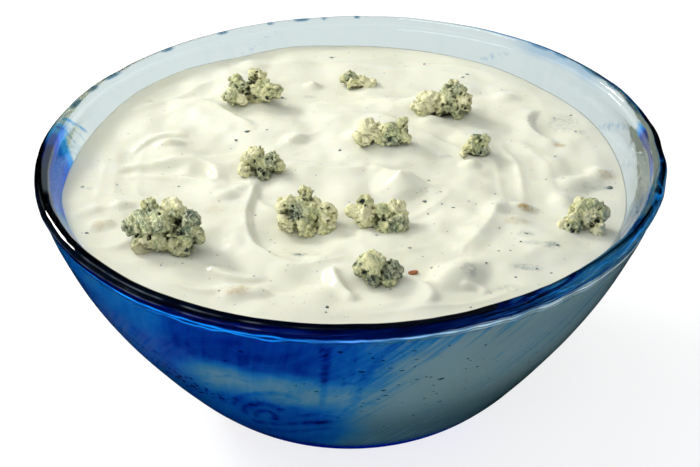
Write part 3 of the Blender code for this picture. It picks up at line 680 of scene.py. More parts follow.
def glass_material():
    """Clear glass with blue ink drawn through it, with painted shade as a smoky tint behind the
    dip, and a painted glow.
    """
    material, tree, shader = new_material("swirled_glass")
    ink = attribute(tree, "ink")
    patterns = {}
    for name, (size, slant, distortion, low, high) in INK_PATTERNS.items():
        waves = grain(tree, drawn(tree, size, slant), 1.0, 4.0, 0.6, distortion)
        patterns[name] = spread(tree, waves, low, high, -1.0, 1.0)
        ink = calculate(tree, "MULTIPLY_ADD", attribute(tree, name), patterns[name], ink)
    threads = patterns["threads"]
    # the drawn strokes have ragged edges
    ragged = spread(tree, grain(tree, drawn(tree, (2.2, 0.9), 40), 1.0, 4.0, 0.65, 0.5), 0.3, 0.7)
    drawing = calculate(tree, "MULTIPLY_ADD", ragged, 0.55, attribute(tree, "drawing"))
    ink = calculate(tree, "MULTIPLY_ADD", spread(tree, drawing, 0.50, 1.25), 0.36, ink)
    dots = spread(tree, cells(tree, drawn(tree, (1.7, 1.0), 20), 1.0), 0.24, 0.46, 1.0, 0.0)
    ink = calculate(tree, "MULTIPLY_ADD", attribute(tree, "dots"), dots, ink)
    # where the glass has no ink it is smoky, with pale threads; the smoke is painted shade of the
    # dip behind the wall, and painted dark reflections in the marks on the rim
    smoke_shade_and_dark_reflections = attribute(tree, "smoke_shade_and_dark_reflections")
    pale = calculate(tree, "MULTIPLY", spread(tree, threads, 0.1, 1.0, 0.0, 0.50), smoke_shade_and_dark_reflections)
    smoky_painted_shade = blend(tree, pale, ramp(tree, smoke_shade_and_dark_reflections, *SMOKE_SHADE_AND_REFLECTION_COLOURS), PALE_THREAD)
    colour = blend(tree, spread(tree, ink, 0.0, 0.24), smoky_painted_shade, ramp(tree, ink, *INK_COLOURS))
    threads = spread(tree, threads, -1.0, 1.0)
    violet = calculate(tree, "MULTIPLY", attribute(tree, "violet"), threads)
    colour = blend(tree, violet, colour, VIOLET)
    # painted shade: where the smoke is deepest the colour is darkened further
    deep = ramp(tree, smoke_shade_and_dark_reflections, (0.55, WHITE), (1.0, DEEP_SMOKE_SHADE_AND_REFLECTION))
    colour = blend(tree, 1.0, colour, deep, "MULTIPLY")
    # painted glow: emission that stands in for the light that the ink and the rim gather, and for
    # painted highlights along the rim
    painted_glow_colour = blend(tree, attribute(tree, "whiteness"), BLUE_PAINTED_GLOW, PALE_PAINTED_GLOW)
    strength = ramp(tree, attribute(tree, "painted_glow"), (0.0, BLACK), (1.0, WHITE))
    painted_glow_colour = blend(tree, 1.0, painted_glow_colour, strength, "MULTIPLY")
    # painted glow: the foot's navy band glows
    painted_glow_colour = blend(tree, attribute(tree, "foot"), painted_glow_colour, FOOT_PAINTED_GLOW)
    waves = grain(tree, place(tree, (1.0, 1.0, 0.5)), 7.0, 2.0)
    fill_in(
        tree, shader, ("Base Color", colour), ("Emission Color", painted_glow_colour), ("Emission Strength", 1.0),
        ("Roughness", 0.01), ("IOR", 1.5), ("Transmission Weight", 1.0),
        ("Normal", raised(tree, waves, 0.20 * MM, 0.4)),
    )
    return material


def cream_material():
    """Thick cream with clouds of mould and the tan of sunk cheese."""
    material, tree, shader = new_material("cream")
    along = place(tree)
    base = ramp(tree, grain(tree, along, 16.0, 3.0), *CREAM_COLOURS)
    torn = spread(tree, grain(tree, along, 1.1, 4.0, 0.6), 0.28, 0.58)
    stained = calculate(tree, "MULTIPLY", attribute(tree, "stain"), torn)
    base = blend(tree, stained, base, (0.56, 0.42, 0.20))
    mottle = spread(tree, grain(tree, along, 0.9, 3.0), 0.3, 0.65)
    clouded = calculate(tree, "MULTIPLY", attribute(tree, "cloud"), mottle)
    base = blend(tree, clouded, base, (0.30, 0.37, 0.33))
    specks = spread(tree, cells(tree, along, 2.6), 0.05, 0.13, 1.0, 0.0)
    rare = calculate(tree, "MULTIPLY", specks, spread(tree, grain(tree, along, 5.0), 0.52, 0.62))
    base = blend(tree, calculate(tree, "MULTIPLY", rare, 0.45), base, (0.28, 0.33, 0.30))
    fill_in(
        tree, shader, ("Base Color", base), ("Roughness", 0.18), ("IOR", 1.42),
        ("Subsurface Weight", 0.3), ("Subsurface Radius", (1.0, 0.8, 0.45)),
        ("Subsurface Scale", 2.2 * MM),
        ("Normal", raised(tree, grain(tree, along, 1.6, 4.0), 0.08 * MM, 0.5)),
    )
    return material


def cheese_material():
    """Crumbled blue cheese: cream-yellow curd, olive-grey mould, near-black pits, painted shade in
    the hollows and painted highlights on the edges.
    """
    material, tree, shader = new_material("blue_cheese")
    along = place(tree)
    patches = spread(tree, grain(tree, along, 1.8, 4.0, 0.6), 0.3, 0.7, -0.26, 0.26)
    tone = calculate(tree, "ADD", attribute(tree, "tone"), patches, clamp=True)
    smeared = grain(tree, place(tree, (0.55, 5.0, 0.55), (0.5, 0.3, 0.7)), 1.0, 2.0, 0.5, 0.4)
    mould = spread(tree, grain(tree, along, 1.1, 4.0, 0.65, 0.8), 0.56, 0.70, 0.0, 0.75)
    veins = calculate(tree, "MULTIPLY", mould, spread(tree, tone, 0.25, 0.6))
    bits = grain(tree, along, 0.55, 3.0, 0.6)
    ragged = spread(tree, grain(tree, along, 0.7, 3.0), 0.3, 0.7, -0.4, 0.4)
    pits = calculate(tree, "ADD", attribute(tree, "pit"), ragged)
    base = ramp(tree, spread(tree, tone, 0.10, 1.0), *CHEESE_COLOURS)
    for share, colour in (
        (spread(tree, smeared, 0.46, 0.58, 0.0, 0.55), (0.84, 0.82, 0.52)),
        (veins, (0.085, 0.105, 0.065)),
        # painted shade: near black in the hollows and on the undersides
        (spread(tree, attribute(tree, "painted_hollow_shade"), 0.1, 0.9, 0.0, 0.94), (0.035, 0.037, 0.010)),
        # painted highlight: the convex edges are lighter
        (spread(tree, attribute(tree, "edge"), 0.2, 1.0, 0.0, 0.6), (0.92, 0.88, 0.54)),
        (spread(tree, bits, 0.54, 0.66, 0.0, 0.55), (0.96, 0.93, 0.62)),
        (spread(tree, bits, 0.44, 0.34, 0.0, 0.45), (0.15, 0.18, 0.11)),
        (spread(tree, pits, 0.62, 0.9), (0.022, 0.036, 0.036)),
    ):
        base = blend(tree, share, base, colour)
    rough = calculate(tree, "MULTIPLY_ADD", smeared, 1.5, grain(tree, along, 0.5, 4.0, 0.65))
    fill_in(tree, shader, ("Base Color", base), ("Roughness", 0.5),
            ("Normal", raised(tree, rough, 0.34 * MM)))
    return material


def fleck_material():
    """Loose bits of mould, from blue-grey to near black."""
    material, tree, shader = new_material("mould_fleck")
    patches = spread(tree, grain(tree, place(tree), 0.5), 0.3, 0.7, -0.2, 0.2)
    tint = calculate(tree, "ADD", attribute(tree, "dark"), patches, clamp=True)
    fill_in(tree, shader, ("Base Color", ramp(tree, tint, *FLECK_COLOURS)), ("Roughness", 0.5))
    return material


def spice_material():
    """The flake of red-brown spice."""
    material, tree, shader = new_material("spice")
    base = ramp(tree, grain(tree, place(tree), 0.8, 3.0), *SPICE_COLOURS)
    fill_in(tree, shader, ("Base Color", base), ("Roughness", 0.45))
    return material


# The bowl

def bowl_angles(points):
    """Each point's angle round the bowl in degrees: 0 on the right, 90 behind, 270 in front."""
    return np.degrees(np.arctan2(points[:, 1], points[:, 0])) % 360


def between(angle, low, high, fade):
    """1 from one angle to another, going up, with soft ends of this many degrees."""
    middle = (low + high) / 2
    half = (high - low) / 2
    off = np.abs((np.asarray(angle) - middle + 180) % 360 - 180)
    return 1 - smooth_step(off, half - fade / 2, half + fade / 2)


def ink_layers(points, inside):
    """How much ink, clouds, strokes, smoke as painted shade, painted glow and so on each point of
    the glass holds.
    """
    angle = bowl_angles(points)
    height = points[:, 2] / MM

    def waves(length, seed):
        return noise_at(points, length * MM, seed)

    def sector(low, high, fade):
        return between(angle, low, high, fade)

    def drifting(low, high, fade):
        return between(drift, low, high, fade)

    drift = angle + 6 * waves(17, 7) + 3 * waves(7, 8)
    lift = height + 2.5 * waves(13, 3) + 1.2 * waves(5, 4)
    edge = edge_level(np.radians(angle)) / MM
    outer_rim = smooth_step(height + 0.3 * waves(9, 5), edge + 2.5, edge + 3.2)
    inner_rim = smooth_step(height, 52, 53) * sector(204, 346, 12)
    rim = np.where(inside, np.maximum(inner_rim, smooth_step(height, 57, 58)), outer_rim)
    body = np.where(inside, 0.0, 1 - rim)
    # the blue side: it reaches from the left to a slanting border just right of the middle
    border = 268 + 14 * (height - 12) / 43
    slanting = smooth_step(drift, 200, 206) * (1 - smooth_step(drift, border - 12, border + 6))
    blue = np.maximum(drifting(178, 224, 14), slanting)
    ink = 0.46 * blue
    # the cobalt field in front, and the pale clouds below it
    ink += 0.30 * blue * drifting(236, 265, 16) * smooth_step(lift, 40, 46)
    ink += 0.10 * blue * drifting(205, 240, 20) * (1 - smooth_step(lift, 44, 52))
    ink -= 0.26 * (blue * drifting(242, 272, 12) * bell((lift - 36.5) / 9))
    ink += 0.10 * blue * drifting(246, 266, 12) * bell((lift - 24) / 8)
    ink += 0.12 * blue * (1 - smooth_step(lift, 10, 20))
    # a blue veil under the dip's edge on the right, and a stain at the foot
    ink += 0.26 * (1 - blue) * drifting(262, 304, 22) * smooth_step(lift, 46, 54)
    ink += 0.10 * (1 - blue) * drifting(262, 300, 24) * (1 - smooth_step(lift, 12, 26))
    foot = sector(212, 320, 36) * (1 - smooth_step(height, 8.0, 9.4))
    ink += 0.8 * foot
    ink *= body
    # the rim holds navy ink from the left round the front to the right, black on top in front
    navy = between(angle + 5 * waves(20, 9), 170, 376, 20)
    navy *= between(angle + 3 * waves(6, 17), 150, 371, 5)
    clear_inside = np.where(inside, sector(346, 390, 16), 0.0)
    climb = np.where(inside, 0.0, 0.9 * smooth_step(angle, 225, 262))
    black_top = smooth_step(height, 58.5 + climb, 59.1 + climb) * sector(182, 300, 30)
    azure_right = 0.36 * sector(304, 352, 20) + 0.16 * (1 - black_top)
    ink += 1.1 * rim * navy * (1 - clear_inside) * (1 - azure_right)
    # painted dark reflections as small dark marks on top of the rim at the back, and a smoky blue
    # patch on the right
    marks = [(at, BOWL_HEIGHT / MM, wide, MARK_HEIGHT, 1.0) for at, wide in RIM_DARK_REFLECTIONS]
    dark_reflection_marks = spots_at(angle, height, marks)
    right_back = smooth_step(height, 58.5, 60.5) * sector(358, 46, 26)
    right_edge = np.where(inside, 0.0, smooth_step(height, 58.0, 58.7)) * sector(4, 60, 24)
    ink += 0.05 * right_back + 0.74 * right_edge
    # on the left above the dip the ink runs down the inside in a cobalt curl
    twist = angle - 0.7 * (60 - height) + 1.2 * waves(5, 11)
    curl = between(twist, 168, 194, 2.5) * smooth_step(height, 50, 53)
    core = 0.14 * between(twist, 171.5, 176, 3) * smooth_step(height, 57, 61)
    deepest = 0.76 - 0.20 * between(twist, 168.8, 171.5, 1.5) + core
    ink = np.maximum(ink, np.where(inside, deepest, 0.40) * curl)
    # thin veils hang inside the back wall on the right
    veil = between(angle + 2 * waves(5, 12), 28, 52, 12) * bell((lift - 59.5) / 3.5)
    ink = np.maximum(ink, np.where(inside, 0.17, 0.0) * veil)
    # painted shade: the wall is tinted smoky up to the dip's edge, less so at the back, and more
    # towards the foot
    back = sector(2, 164, 44)
    smoky_painted_shade = 1 - smooth_step(height, edge + 1.8 - 46 * back, edge + 2.6 - 8 * back)
    smoky_painted_shade = np.where(inside, 0.0, smoky_painted_shade) * (0.48 + 0.50 * (1 - smooth_step(height, 8, 42)))
    # painted glow where the dip's edge stands behind the glass, and painted highlights along the
    # rim
    painted_glow = np.clip(painted_glow_at(points, angle, height, edge), 0, 1)
    # how white the painted glow and painted highlights are
    white = smooth_step(angle, 258, 296) * (height < edge + 4)
    white = white + (height > edge + 4) * (angle < 270)
    curls = drawing_at(angle, height, CURL_STROKES)
    return {
        "ink": ink,
        "clouds": body * 0.07 * blue,
        "strokes": body * (0.05 * blue + 0.02 * (1 - blue)),
        "threads": body * 0.20 * sector(272, 345, 14) * smooth_step(height, 12, 26),
        "streaks": rim * (0.06 + 0.30 * sector(296, 352, 20)) * navy + 0.14 * right_back
        + 0.30 * right_edge,
        "smoke_shade_and_dark_reflections": np.maximum(smoky_painted_shade, np.maximum(dark_reflection_marks, 0.8 * right_back)),
        # painted glow, faint in the cobalt curl inside
        "painted_glow": np.where(inside, 0.10 * curl, painted_glow),
        "whiteness": np.where(inside, smooth_step(height, 58.4, 59.0), white),
        # the foot's ink also carries a painted navy glow
        "foot": body * foot,
        "violet": 0.5 * body * drifting(196, 238, 16) * bell((lift - 38) / 12),
        "drawing": np.where(inside, curls, body * drawing_at(angle, height, INK_STROKES)),
        "dots": 0.6 * body * spots_at(angle, height, (SPECKLED_INK,)),
    }


def painted_glow_at(points, angle, height, edge):
    """Painted glow: bright lines where the dip's edge stands behind the glass, and painted
    highlights along the rim.
    """
    wave = 0.30 * noise_at(points, 4 * MM, 13) + 0.14 * noise_at(points, 1.6 * MM, 16)
    off = height - edge - 2.3
    painted_glow = bell((off - wave) / 0.50)
    painted_glow = painted_glow + between(angle, 236, 266, 8) * bell((off + 0.75 + 1.8 * wave) / 0.36)
    twin = 0.7 * bell((off + 0.9 - wave) / 0.26) + 0.6 * bell((off - 0.8 - 1.4 * wave) / 0.24)
    painted_glow += between(angle, 286, 322, 8) * twin
    strength = 0.35 + 0.65 * smooth_step(noise_at(points, 4 * MM, 14), -0.5, 0.4)
    painted_glow *= strength * (between(angle, 212, 288, 20) + 0.7 * between(angle, 288, 334, 10))
    # painted highlights along the rim, on the right and in front on the left
    for line, thick in RIGHT_PAINTED_HIGHLIGHTS:
        bent = line + 1.6 * wave + 0.02 * (angle - 330)
        painted_glow += 0.5 * strength * between(angle, 304, 352, 20) * bell((height - bent) / thick)
    for line, thick in LEFT_PAINTED_HIGHLIGHTS:
        bent = height - line - 0.1 * wave
        painted_glow += 0.22 * strength * between(angle, 196, 258, 30) * bell(bent / thick)
    return painted_glow


def nearest_on(line, spots, stretch=1.0):
    """Each spot's gap to the nearest point of a line, its length, and that point's number."""
    gaps = spots[:, None, :] - line[None, :, :]
    distance = np.hypot(gaps[..., 0] * stretch, gaps[..., 1])
    nearest = distance.argmin(1)
    rows = np.arange(len(spots))
    return gaps[rows, nearest], distance[rows, nearest], nearest


def near_line(x, y, line, reach):
    """Which places lie within reach of the box round a line."""
    (left, low), (right, high) = line.min(axis=0) - reach, line.max(axis=0) + reach
    return (x > left) & (x < right) & (y > low) & (y < high)


def drawing_at(angle, height, strokes):
    """How strongly the strokes of ink cover each point of the wall."""
    cover = np.zeros(len(angle))
    for places, start_width, end_width, strength in strokes:
        line = smooth_line(places)
        near = near_line(angle, height, line, 5)
        spots = np.stack([angle[near], height[near]], 1)
        gap, distance, nearest = nearest_on(line, spots, WALL_STEP)
        along = nearest / (len(line) - 1)
        width = start_width + (end_width - start_width) * along
        ends = smooth_step(along, -0.05, 0.12) * (1 - smooth_step(along, 0.75, 1.02))
        there = strength * ends * bell(distance / (1.5 * width))
        cover[near] = np.maximum(cover[near], there)
    return cover


def make_bowl(material):
    """The glass bowl, turned and then given the unevenness of hand-made glass."""
    bead_height = BOWL_HEIGHT - RIM_BEAD
    bead_radius = float(outer_radius(bead_height)) - RIM_BEAD
    profile = [(radius, FLOOR) for radius in (0.0, 6 * MM, 12 * MM)]
    profile += inside_line(bead_height, INSIDE_STEPS)[:-1]
    for turn in np.linspace(math.pi, 0, BEAD_STEPS):
        across, up = RIM_BEAD * math.cos(turn), RIM_BEAD * math.sin(turn)
        profile.append((bead_radius + across, bead_height + up))
    neck = np.linspace(bead_height, NECK, NECK_STEPS)[1:]
    wall = np.linspace(NECK, 1 * MM, WALL_STEPS)[1:]
    for height in np.concatenate([neck, wall]):
        profile.append((float(outer_radius(height)), float(height)))
    foot = float(outer_radius(0.0))
    profile += [(foot, 0.25 * MM), (foot - 0.6 * MM, 0.0), (FOOT_INSIDE, 0.0)]
    profile += [(FOOT_INSIDE - 3 * MM, 0.3 * MM), (10 * MM, 0.7 * MM), (0.0, FOOT_HOLLOW)]
    mesh = turned_mesh("glass_bowl", profile, BOWL_TURNS)
    points = vectors_of(mesh, "co")
    radius = np.hypot(points[:, 0], points[:, 1])
    inside = radius < (outer_radius(points[:, 2]) + inner_radius(points[:, 2])) / 2
    layers = ink_layers(points, inside)
    angle = np.radians(bowl_angles(points))
    # the rim rises and falls a little, and the wall above the dip waves as blown glass does
    high = smooth_step(points[:, 2], 50 * MM, BOWL_HEIGHT)
    waves = 0.16 * noise_at(points * [1, 1, 0.6], 7 * MM, 1) + 0.05 * noise_at(points, 3 * MM, 2)
    swell = 1 + high * waves * MM / np.maximum(radius, 10 * MM)
    points[:, 0] *= swell
    points[:, 1] *= swell
    sway = 0.10 * (np.sin(2 * angle + 0.6) + 0.5 * np.sin(5 * angle)) - 0.15
    points[:, 2] += high * sway * MM
    put_points(mesh, lean_over(points))
    for name, values in layers.items():
        put_attribute(mesh, name, values)
    flow = mesh.attributes.new("flow", "FLOAT_VECTOR", "POINT")
    around = (np.degrees(angle) - 90) % 360 * WALL_STEP
    flow.data.foreach_set("vector", np.stack([around, points[:, 2] / MM, 0 * around], 1).ravel())
    return new_piece("glass_bowl", mesh, material, "glass", "bowl")


# The dip

def edge_level(angle):
    """How high the dip stands against the wall at each angle."""
    angles, falls = zip(*EDGE_FALL)
    return BOWL_HEIGHT - np.interp(np.degrees(angle) % 360, angles, falls) * MM


def smooth_line(places, steps=12):
    """Points along a smooth curve through the places, in millimetres."""
    line = []
    last = len(places) - 1
    for i in range(last):
        near = (places[min(max(k, 0), last)] for k in (i - 1, i, i + 1, i + 2))
        a, b, c, d = (np.array(spot, float) for spot in near)
        for t in np.arange(steps) / steps:
            line.append(0.5 * (2 * b + (c - a) * t + (2 * a - 5 * b + 4 * c - d) * t ** 2
                               + (3 * b - a - 3 * c + d) * t ** 3))
    line.append(np.array(places[-1], float))
    return np.array(line)


FOLD_LINES = {fold[0]: smooth_line(fold[0]) for fold in FOLDS}


def fold_height(x, y, places, left, right, rise):
    """A fold along a curve: it falls off over one width on the left and another on the right."""
    line = FOLD_LINES[places]
    near = near_line(x, y, line, max(left, right))
    height = np.zeros_like(x)
    gap, distance, nearest = nearest_on(line, np.stack([x[near], y[near]], 1))
    way = np.gradient(line, axis=0)[nearest]
    side = way[:, 0] * gap[:, 1] - way[:, 1] * gap[:, 0]
    off = distance / np.where(side > 0, left, right)
    along = nearest / (len(line) - 1)
    ends = smooth_step(along, 0.0, 0.18) * (1 - smooth_step(along, 0.8, 1.0))
    height[near] = rise * ends * np.clip(1 - off, 0, 1) ** 1.5
    return height


def relief(x, y):
    """How far the stirred top stands above its level, from places in millimetres."""
    height = np.zeros_like(x)
    for across, back, radius, rise in PEAKS:
        distance = np.hypot(x - across, y - back) / radius
        height += rise * np.clip(1 - distance, 0, 1) ** 1.4
    for across, back, wide, deep, turn, rise in LUMPS:
        c, s = math.cos(math.radians(turn)), math.sin(math.radians(turn))
        u = (x - across) * c + (y - back) * s
        v = (y - back) * c - (x - across) * s
        height += BOLDNESS * rise * bell(np.hypot(u / wide, v / deep) / SPREADING)
    for fold in FOLDS:
        height += BOLDNESS * fold_height(x, y, *fold)
    # the cream gives way under each crumble
    for front, core, *rest in CRUMBLES.values():
        middle = (front[0] + core[0], front[1] + core[1])
        height -= bell(np.hypot(x - middle[0], y - middle[1]) / (1.6 * core[3]))
    spots = np.stack([x, y, np.zeros_like(x)], 1)
    sway = 5 * noise_at(spots, 22.0, 31)
    wide, long, rise = STROKES
    around = np.arctan2(y, x) * 34.0 + 4 * noise_at(spots, 12.0, 32)
    swept = np.stack([(np.hypot(x, y) + sway) / wide, around / long, np.zeros_like(x)], 1)
    clear = smooth_step(np.hypot(x, y), 8.0, 22.0)
    height += rise * clear * (0.6 - 1.2 * np.abs(noise_at(swept, 1.0, 33)))
    for seed, (length, rise) in enumerate(RIPPLES):
        height += rise * noise_at(spots, length, seed)
    return height


def dip_height(x, y):
    """The height of the dip's top over places in metres."""
    angle = np.arctan2(y, x)
    edge = edge_level(angle)
    share = np.clip(np.hypot(x, y) / inner_radius(edge), 0, 1)
    level = MIDDLE_LEVEL + (edge - MIDDLE_LEVEL) * share ** 2
    return level + relief(x / MM, y / MM) * MM * (1 - share ** 8)


def dip_height_at(x, y):
    """The height of the dip's top over one place in metres."""
    return float(dip_height(np.array([x]), np.array([y]))[0])


def spots_at(x, y, spots):
    """How strongly each place is covered by soft oval spots."""
    cover = np.zeros_like(x)
    for across, back, wide, deep, strength in spots:
        off = np.hypot((x - across) / wide, (y - back) / deep)
        cover = np.maximum(cover, strength * (1 - smooth_step(off, 0.55, 1.25)))
    return cover


def make_dip(material):
    """The dip: a filling that reaches just into the glass, with its stirred top."""
    top_radius = float(inner_radius(FLAT_EDGE)) + INTO_WALL
    rings = [(top_radius * i / DIP_RINGS, FLAT_EDGE) for i in range(DIP_RINGS + 1)]
    side = inside_line(FLAT_EDGE, DIP_SIDE_STEPS, INTO_WALL)[::-1][1:]
    floor = FLOOR - INTO_WALL
    mesh = turned_mesh("cheese_dip", rings + side + [(9 * MM, floor), (0.0, floor)], DIP_TURNS)
    points = vectors_of(mesh, "co")
    x, y, z = points.T
    top = z > FLAT_EDGE - 0.01 * MM
    angle = np.arctan2(y, x)
    edge = edge_level(angle)
    share = np.hypot(x, y) / top_radius
    foot = FLOOR + FLOOR_CURVE
    height = np.where(z > foot, foot + (z - foot) * (edge - foot) / (FLAT_EDGE - foot), z)
    radius = np.where(z > foot, inner_radius(height) + INTO_WALL, np.hypot(x, y))
    radius = np.where(top, share * (inner_radius(edge) + INTO_WALL), radius)
    x = radius * np.cos(angle)
    y = radius * np.sin(angle)
    height[top] = dip_height(x[top], y[top])
    put_points(mesh, lean_over(np.stack([x, y, height], 1)))
    for name, spots in (("stain", STAINS), ("cloud", CLOUDS)):
        put_attribute(mesh, name, np.where(top, spots_at(x / MM, y / MM, spots), 0.0))
    return new_piece("cheese_dip", mesh, material, "cream", "dip")


# The crumbles

def lump_places(front, core, lumps):
    """The centre and radius of the core and of every lump, in metres."""
    middle = ((front[0] + core[0]) * MM, (front[1] + core[1]) * MM)
    level = dip_height_at(*middle)
    places = [(Vector((*middle, level + core[2] * MM)), core[3] * MM)]
    for across, up, radius, *rest in lumps:
        x = (front[0] + across) * MM
        y = (front[1] + up * math.cos(SLOPE)) * MM
        places.append((Vector((x, y, level + up * math.sin(SLOPE) * MM)), radius * MM))
    return level, places


def broken_lump(centre, radius, rng):
    """One lump of curd, broken flat on several sides, with crumbs sticking to it."""
    bm = bmesh.new()
    made = bmesh.ops.create_icosphere(bm, subdivisions=3, radius=radius)
    sides = [(random_way(rng), rng.uniform(0.50, 0.85) * radius) for i in range(9)]
    for vert in made["verts"]:
        for way, depth in sides:
            past = vert.co.dot(way) - depth
            if past > 0:
                vert.co -= way * past
        vert.co = vert.co * 1.17 + centre
    for i in range(int(6 + 7 * radius / MM)):
        way = random_way(rng)
        size = rng.uniform(0.28, 0.75) * MM
        crumb = bmesh.ops.create_icosphere(bm, subdivisions=1, radius=size)
        for vert in crumb["verts"]:
            vert.co = vert.co * rng.uniform(0.7, 1.3) + centre + way * radius * 0.95
    return finished_mesh(bm, "lump")


def random_way(rng):
    """A direction at random."""
    return Vector((rng.gauss(0, 1), rng.gauss(0, 1), rng.gauss(0, 1))).normalized()


def merged_lumps(name, places, seed):
    """One closed skin round all the lumps."""
    rng = random.Random(seed)
    bm = bmesh.new()
    for centre, radius in places:
        lump = broken_lump(centre, radius, rng)
        bm.from_mesh(lump)
        bpy.data.meshes.remove(lump)
    rough = link(name + "_rough", finished_mesh(bm, name))
    remesh = rough.modifiers.new("Skin", "REMESH")
    remesh.mode = "VOXEL"
    remesh.voxel_size = VOXEL
    depsgraph = bpy.context.evaluated_depsgraph_get()
    skin = bpy.data.meshes.new_from_object(rough.evaluated_get(depsgraph))
    bpy.data.objects.remove(rough, do_unlink=True)
    return skin


def hollowness(mesh, points, facing):
    """How deep each point lies below the smoothed skin, in metres; edges are below zero."""
    edges = np.empty(2 * len(mesh.edges), np.int32)
    mesh.edges.foreach_get("vertices", edges)
    a, b = edges.reshape(-1, 2).T
    count = np.bincount(a, minlength=len(points)) + np.bincount(b, minlength=len(points))
    smooth = points.copy()
    for step in range(SMOOTHINGS):
        for axis in range(3):
            values = smooth[:, axis].copy()
            total = np.bincount(a, values[b], len(points)) + np.bincount(b, values[a], len(points))
            smooth[:, axis] = 0.4 * values + 0.6 * total / count
    return ((smooth - points) * facing).sum(axis=1)


def pits_at(points, facing, front, level, pits, seed):
    """How deep each point lies in one of the dark pits, from 0 to 1."""
    across = (points[:, 0] / MM) - front[0]
    up = (points[:, 2] - level) / MM * math.cos(FRONT_TILT)
    up = up + (points[:, 1] / MM - front[1]) * math.sin(FRONT_TILT)
    sway = 0.45 * noise_at(points, 1.2 * MM, seed + 9)
    climb = 0.45 * noise_at(points, 1.2 * MM, seed + 1)
    pit = np.zeros(len(points))
    for side, rise, radius in pits:
        off = np.hypot(across - side + sway, up - rise + climb) / (0.66 * radius)
        there = (1 - smooth_step(off, 0.4, 1.3)) * smooth_step(-facing[:, 1], -0.5, 0.1)
        pit = np.maximum(pit, there)
    return pit


def make_crumble(name, number, material):
    """One crumble: its lumps grown together, broken into curds, with its tones, dark pits, painted
    shade and painted highlights.
    """
    front, core, lumps, pits = CRUMBLES[name]
    level, places = lump_places(front, core, lumps)
    mesh = merged_lumps(name, places, number)
    points = vectors_of(mesh, "co")
    facing = vectors_of(mesh, "normal")
    seed = number * 10

    def waves(length, step):
        return noise_at(points, length * MM, seed + step)

    curds = cell_distance(points, 1.9 * MM, seed)
    bits = cell_distance(points, 0.8 * MM, seed + 3)
    out = 0.35 * waves(2.6, 6) + 0.22 * (0.5 - curds)
    out += smooth_step(waves(3.0, 5), -0.7, 0.2) * (0.36 * (0.5 - bits) + 0.30 * waves(0.7, 8))
    pit = pits_at(points, facing, front, level, pits, seed)
    out -= 0.5 * pit
    points = points + facing * (out * MM)[:, None]
    put_points(mesh, points)
    facing = vectors_of(mesh, "normal")
    below = hollowness(mesh, points, facing) / MM
    tone = np.zeros(len(points))
    weight = np.full(len(points), 1e-9)
    for (centre, radius), lump in zip(places[1:], lumps):
        gap = np.linalg.norm(points - np.array(centre), axis=1) / radius
        near = np.exp(-3.5 * gap ** 2)
        tone += near * lump[3]
        weight += near
    tone = tone / weight + 0.25 * waves(1.8, 7)
    # painted shade: darkest in the hollows and on the undersides that face down
    painted_hollow_shade = smooth_step(below, 0.02, 0.44)
    painted_hollow_shade = np.maximum(painted_hollow_shade, 0.75 * smooth_step(-facing[:, 2], -0.1, 0.6))
    # the tone leans towards mould there, partly as mould that grows in crevices, partly as painted
    # shade
    tone = tone + 0.15 * painted_hollow_shade
    cracks = 0.20 * smooth_step(curds, 0.62, 0.9) * smooth_step(tone, 0.2, 0.6)
    put_attribute(mesh, "painted_hollow_shade", painted_hollow_shade)
    # painted highlight: the convex edges are marked to be lighter
    put_attribute(mesh, "edge", smooth_step(-below, 0.10, 0.5))
    put_attribute(mesh, "tone", np.clip(tone, 0, 1))
    put_attribute(mesh, "pit", np.clip(pit + cracks, 0, 1))
    return new_piece(name + "_curds", mesh, material, "cheese", name)


# The flecks

def add_fleck(bm, layer, centre, size, turn, darkness, rng):
    """One small flat bit of mould, half sunk."""
    made = bmesh.ops.create_icosphere(bm, subdivisions=1, radius=0.5)
    shape = Matrix.Diagonal((size[0], size[1], size[2], 1.0))
    for vert in made["verts"]:
        vert.co *= 1 + rng.uniform(-0.3, 0.3)
        vert[layer] = darkness
    bmesh.ops.transform(bm, verts=made["verts"], matrix=Matrix.Translation(centre) @ turn @ shape)


def make_flecks(material):
    """All loose flecks of mould: those in the top of the dip and those behind the glass."""
    rng = random.Random(11)
    bm = bmesh.new()
    layer = bm.verts.layers.float.new("dark")
    flecks = list(FLECKS)
    for i in range(MORE_FLECKS):
        angle = rng.uniform(0, math.tau)
        radius = FLECKED_RADIUS * math.sqrt(rng.random())
        flecks.append((radius * math.cos(angle), radius * math.sin(angle),
                       rng.uniform(0.2, 0.5), rng.uniform(0.0, 0.45)))
    heights = dip_height(*np.array([fleck[:2] for fleck in flecks]).T * MM)
    for (x, y, length, dark), height in zip(flecks, heights):
        size = (length * 0.8 * MM, length * rng.uniform(0.45, 0.8) * MM, FLECK_DEPTH)
        turn = Euler((0, 0, rng.uniform(-0.5, 0.5))).to_matrix().to_4x4()
        shift = float(lean_shift(height))
        add_fleck(bm, layer, Vector((x * MM - shift, y * MM, height)), size, turn, dark, rng)
    specks = list(WALL_SPECKS)
    for i in range(MORE_WALL_SPECKS):
        specks.append((rng.uniform(0, 360), rng.uniform(14, 51), rng.uniform(0.3, 0.8)))
    for i in range(MORE_FRONT_SPECKS):
        specks.append((rng.gauss(280, 8), rng.uniform(30, 52), rng.uniform(0.3, 0.9)))
    for degrees, height, width in specks:
        angle = math.radians(degrees)
        radius = float(inner_radius(height * MM)) + INTO_WALL
        shift = float(lean_shift(height * MM))
        centre = Vector((radius * math.cos(angle) - shift, radius * math.sin(angle), height * MM))
        size = (FLECK_DEPTH, width * MM, width * rng.uniform(0.4, 0.7) * MM)
        turn = Euler((0, 0, angle)).to_matrix().to_4x4()
        add_fleck(bm, layer, centre, size, turn, rng.uniform(0.7, 1.0), rng)
    return new_piece("mould_flecks", finished_mesh(bm, "mould_flecks"), material, "cheese")


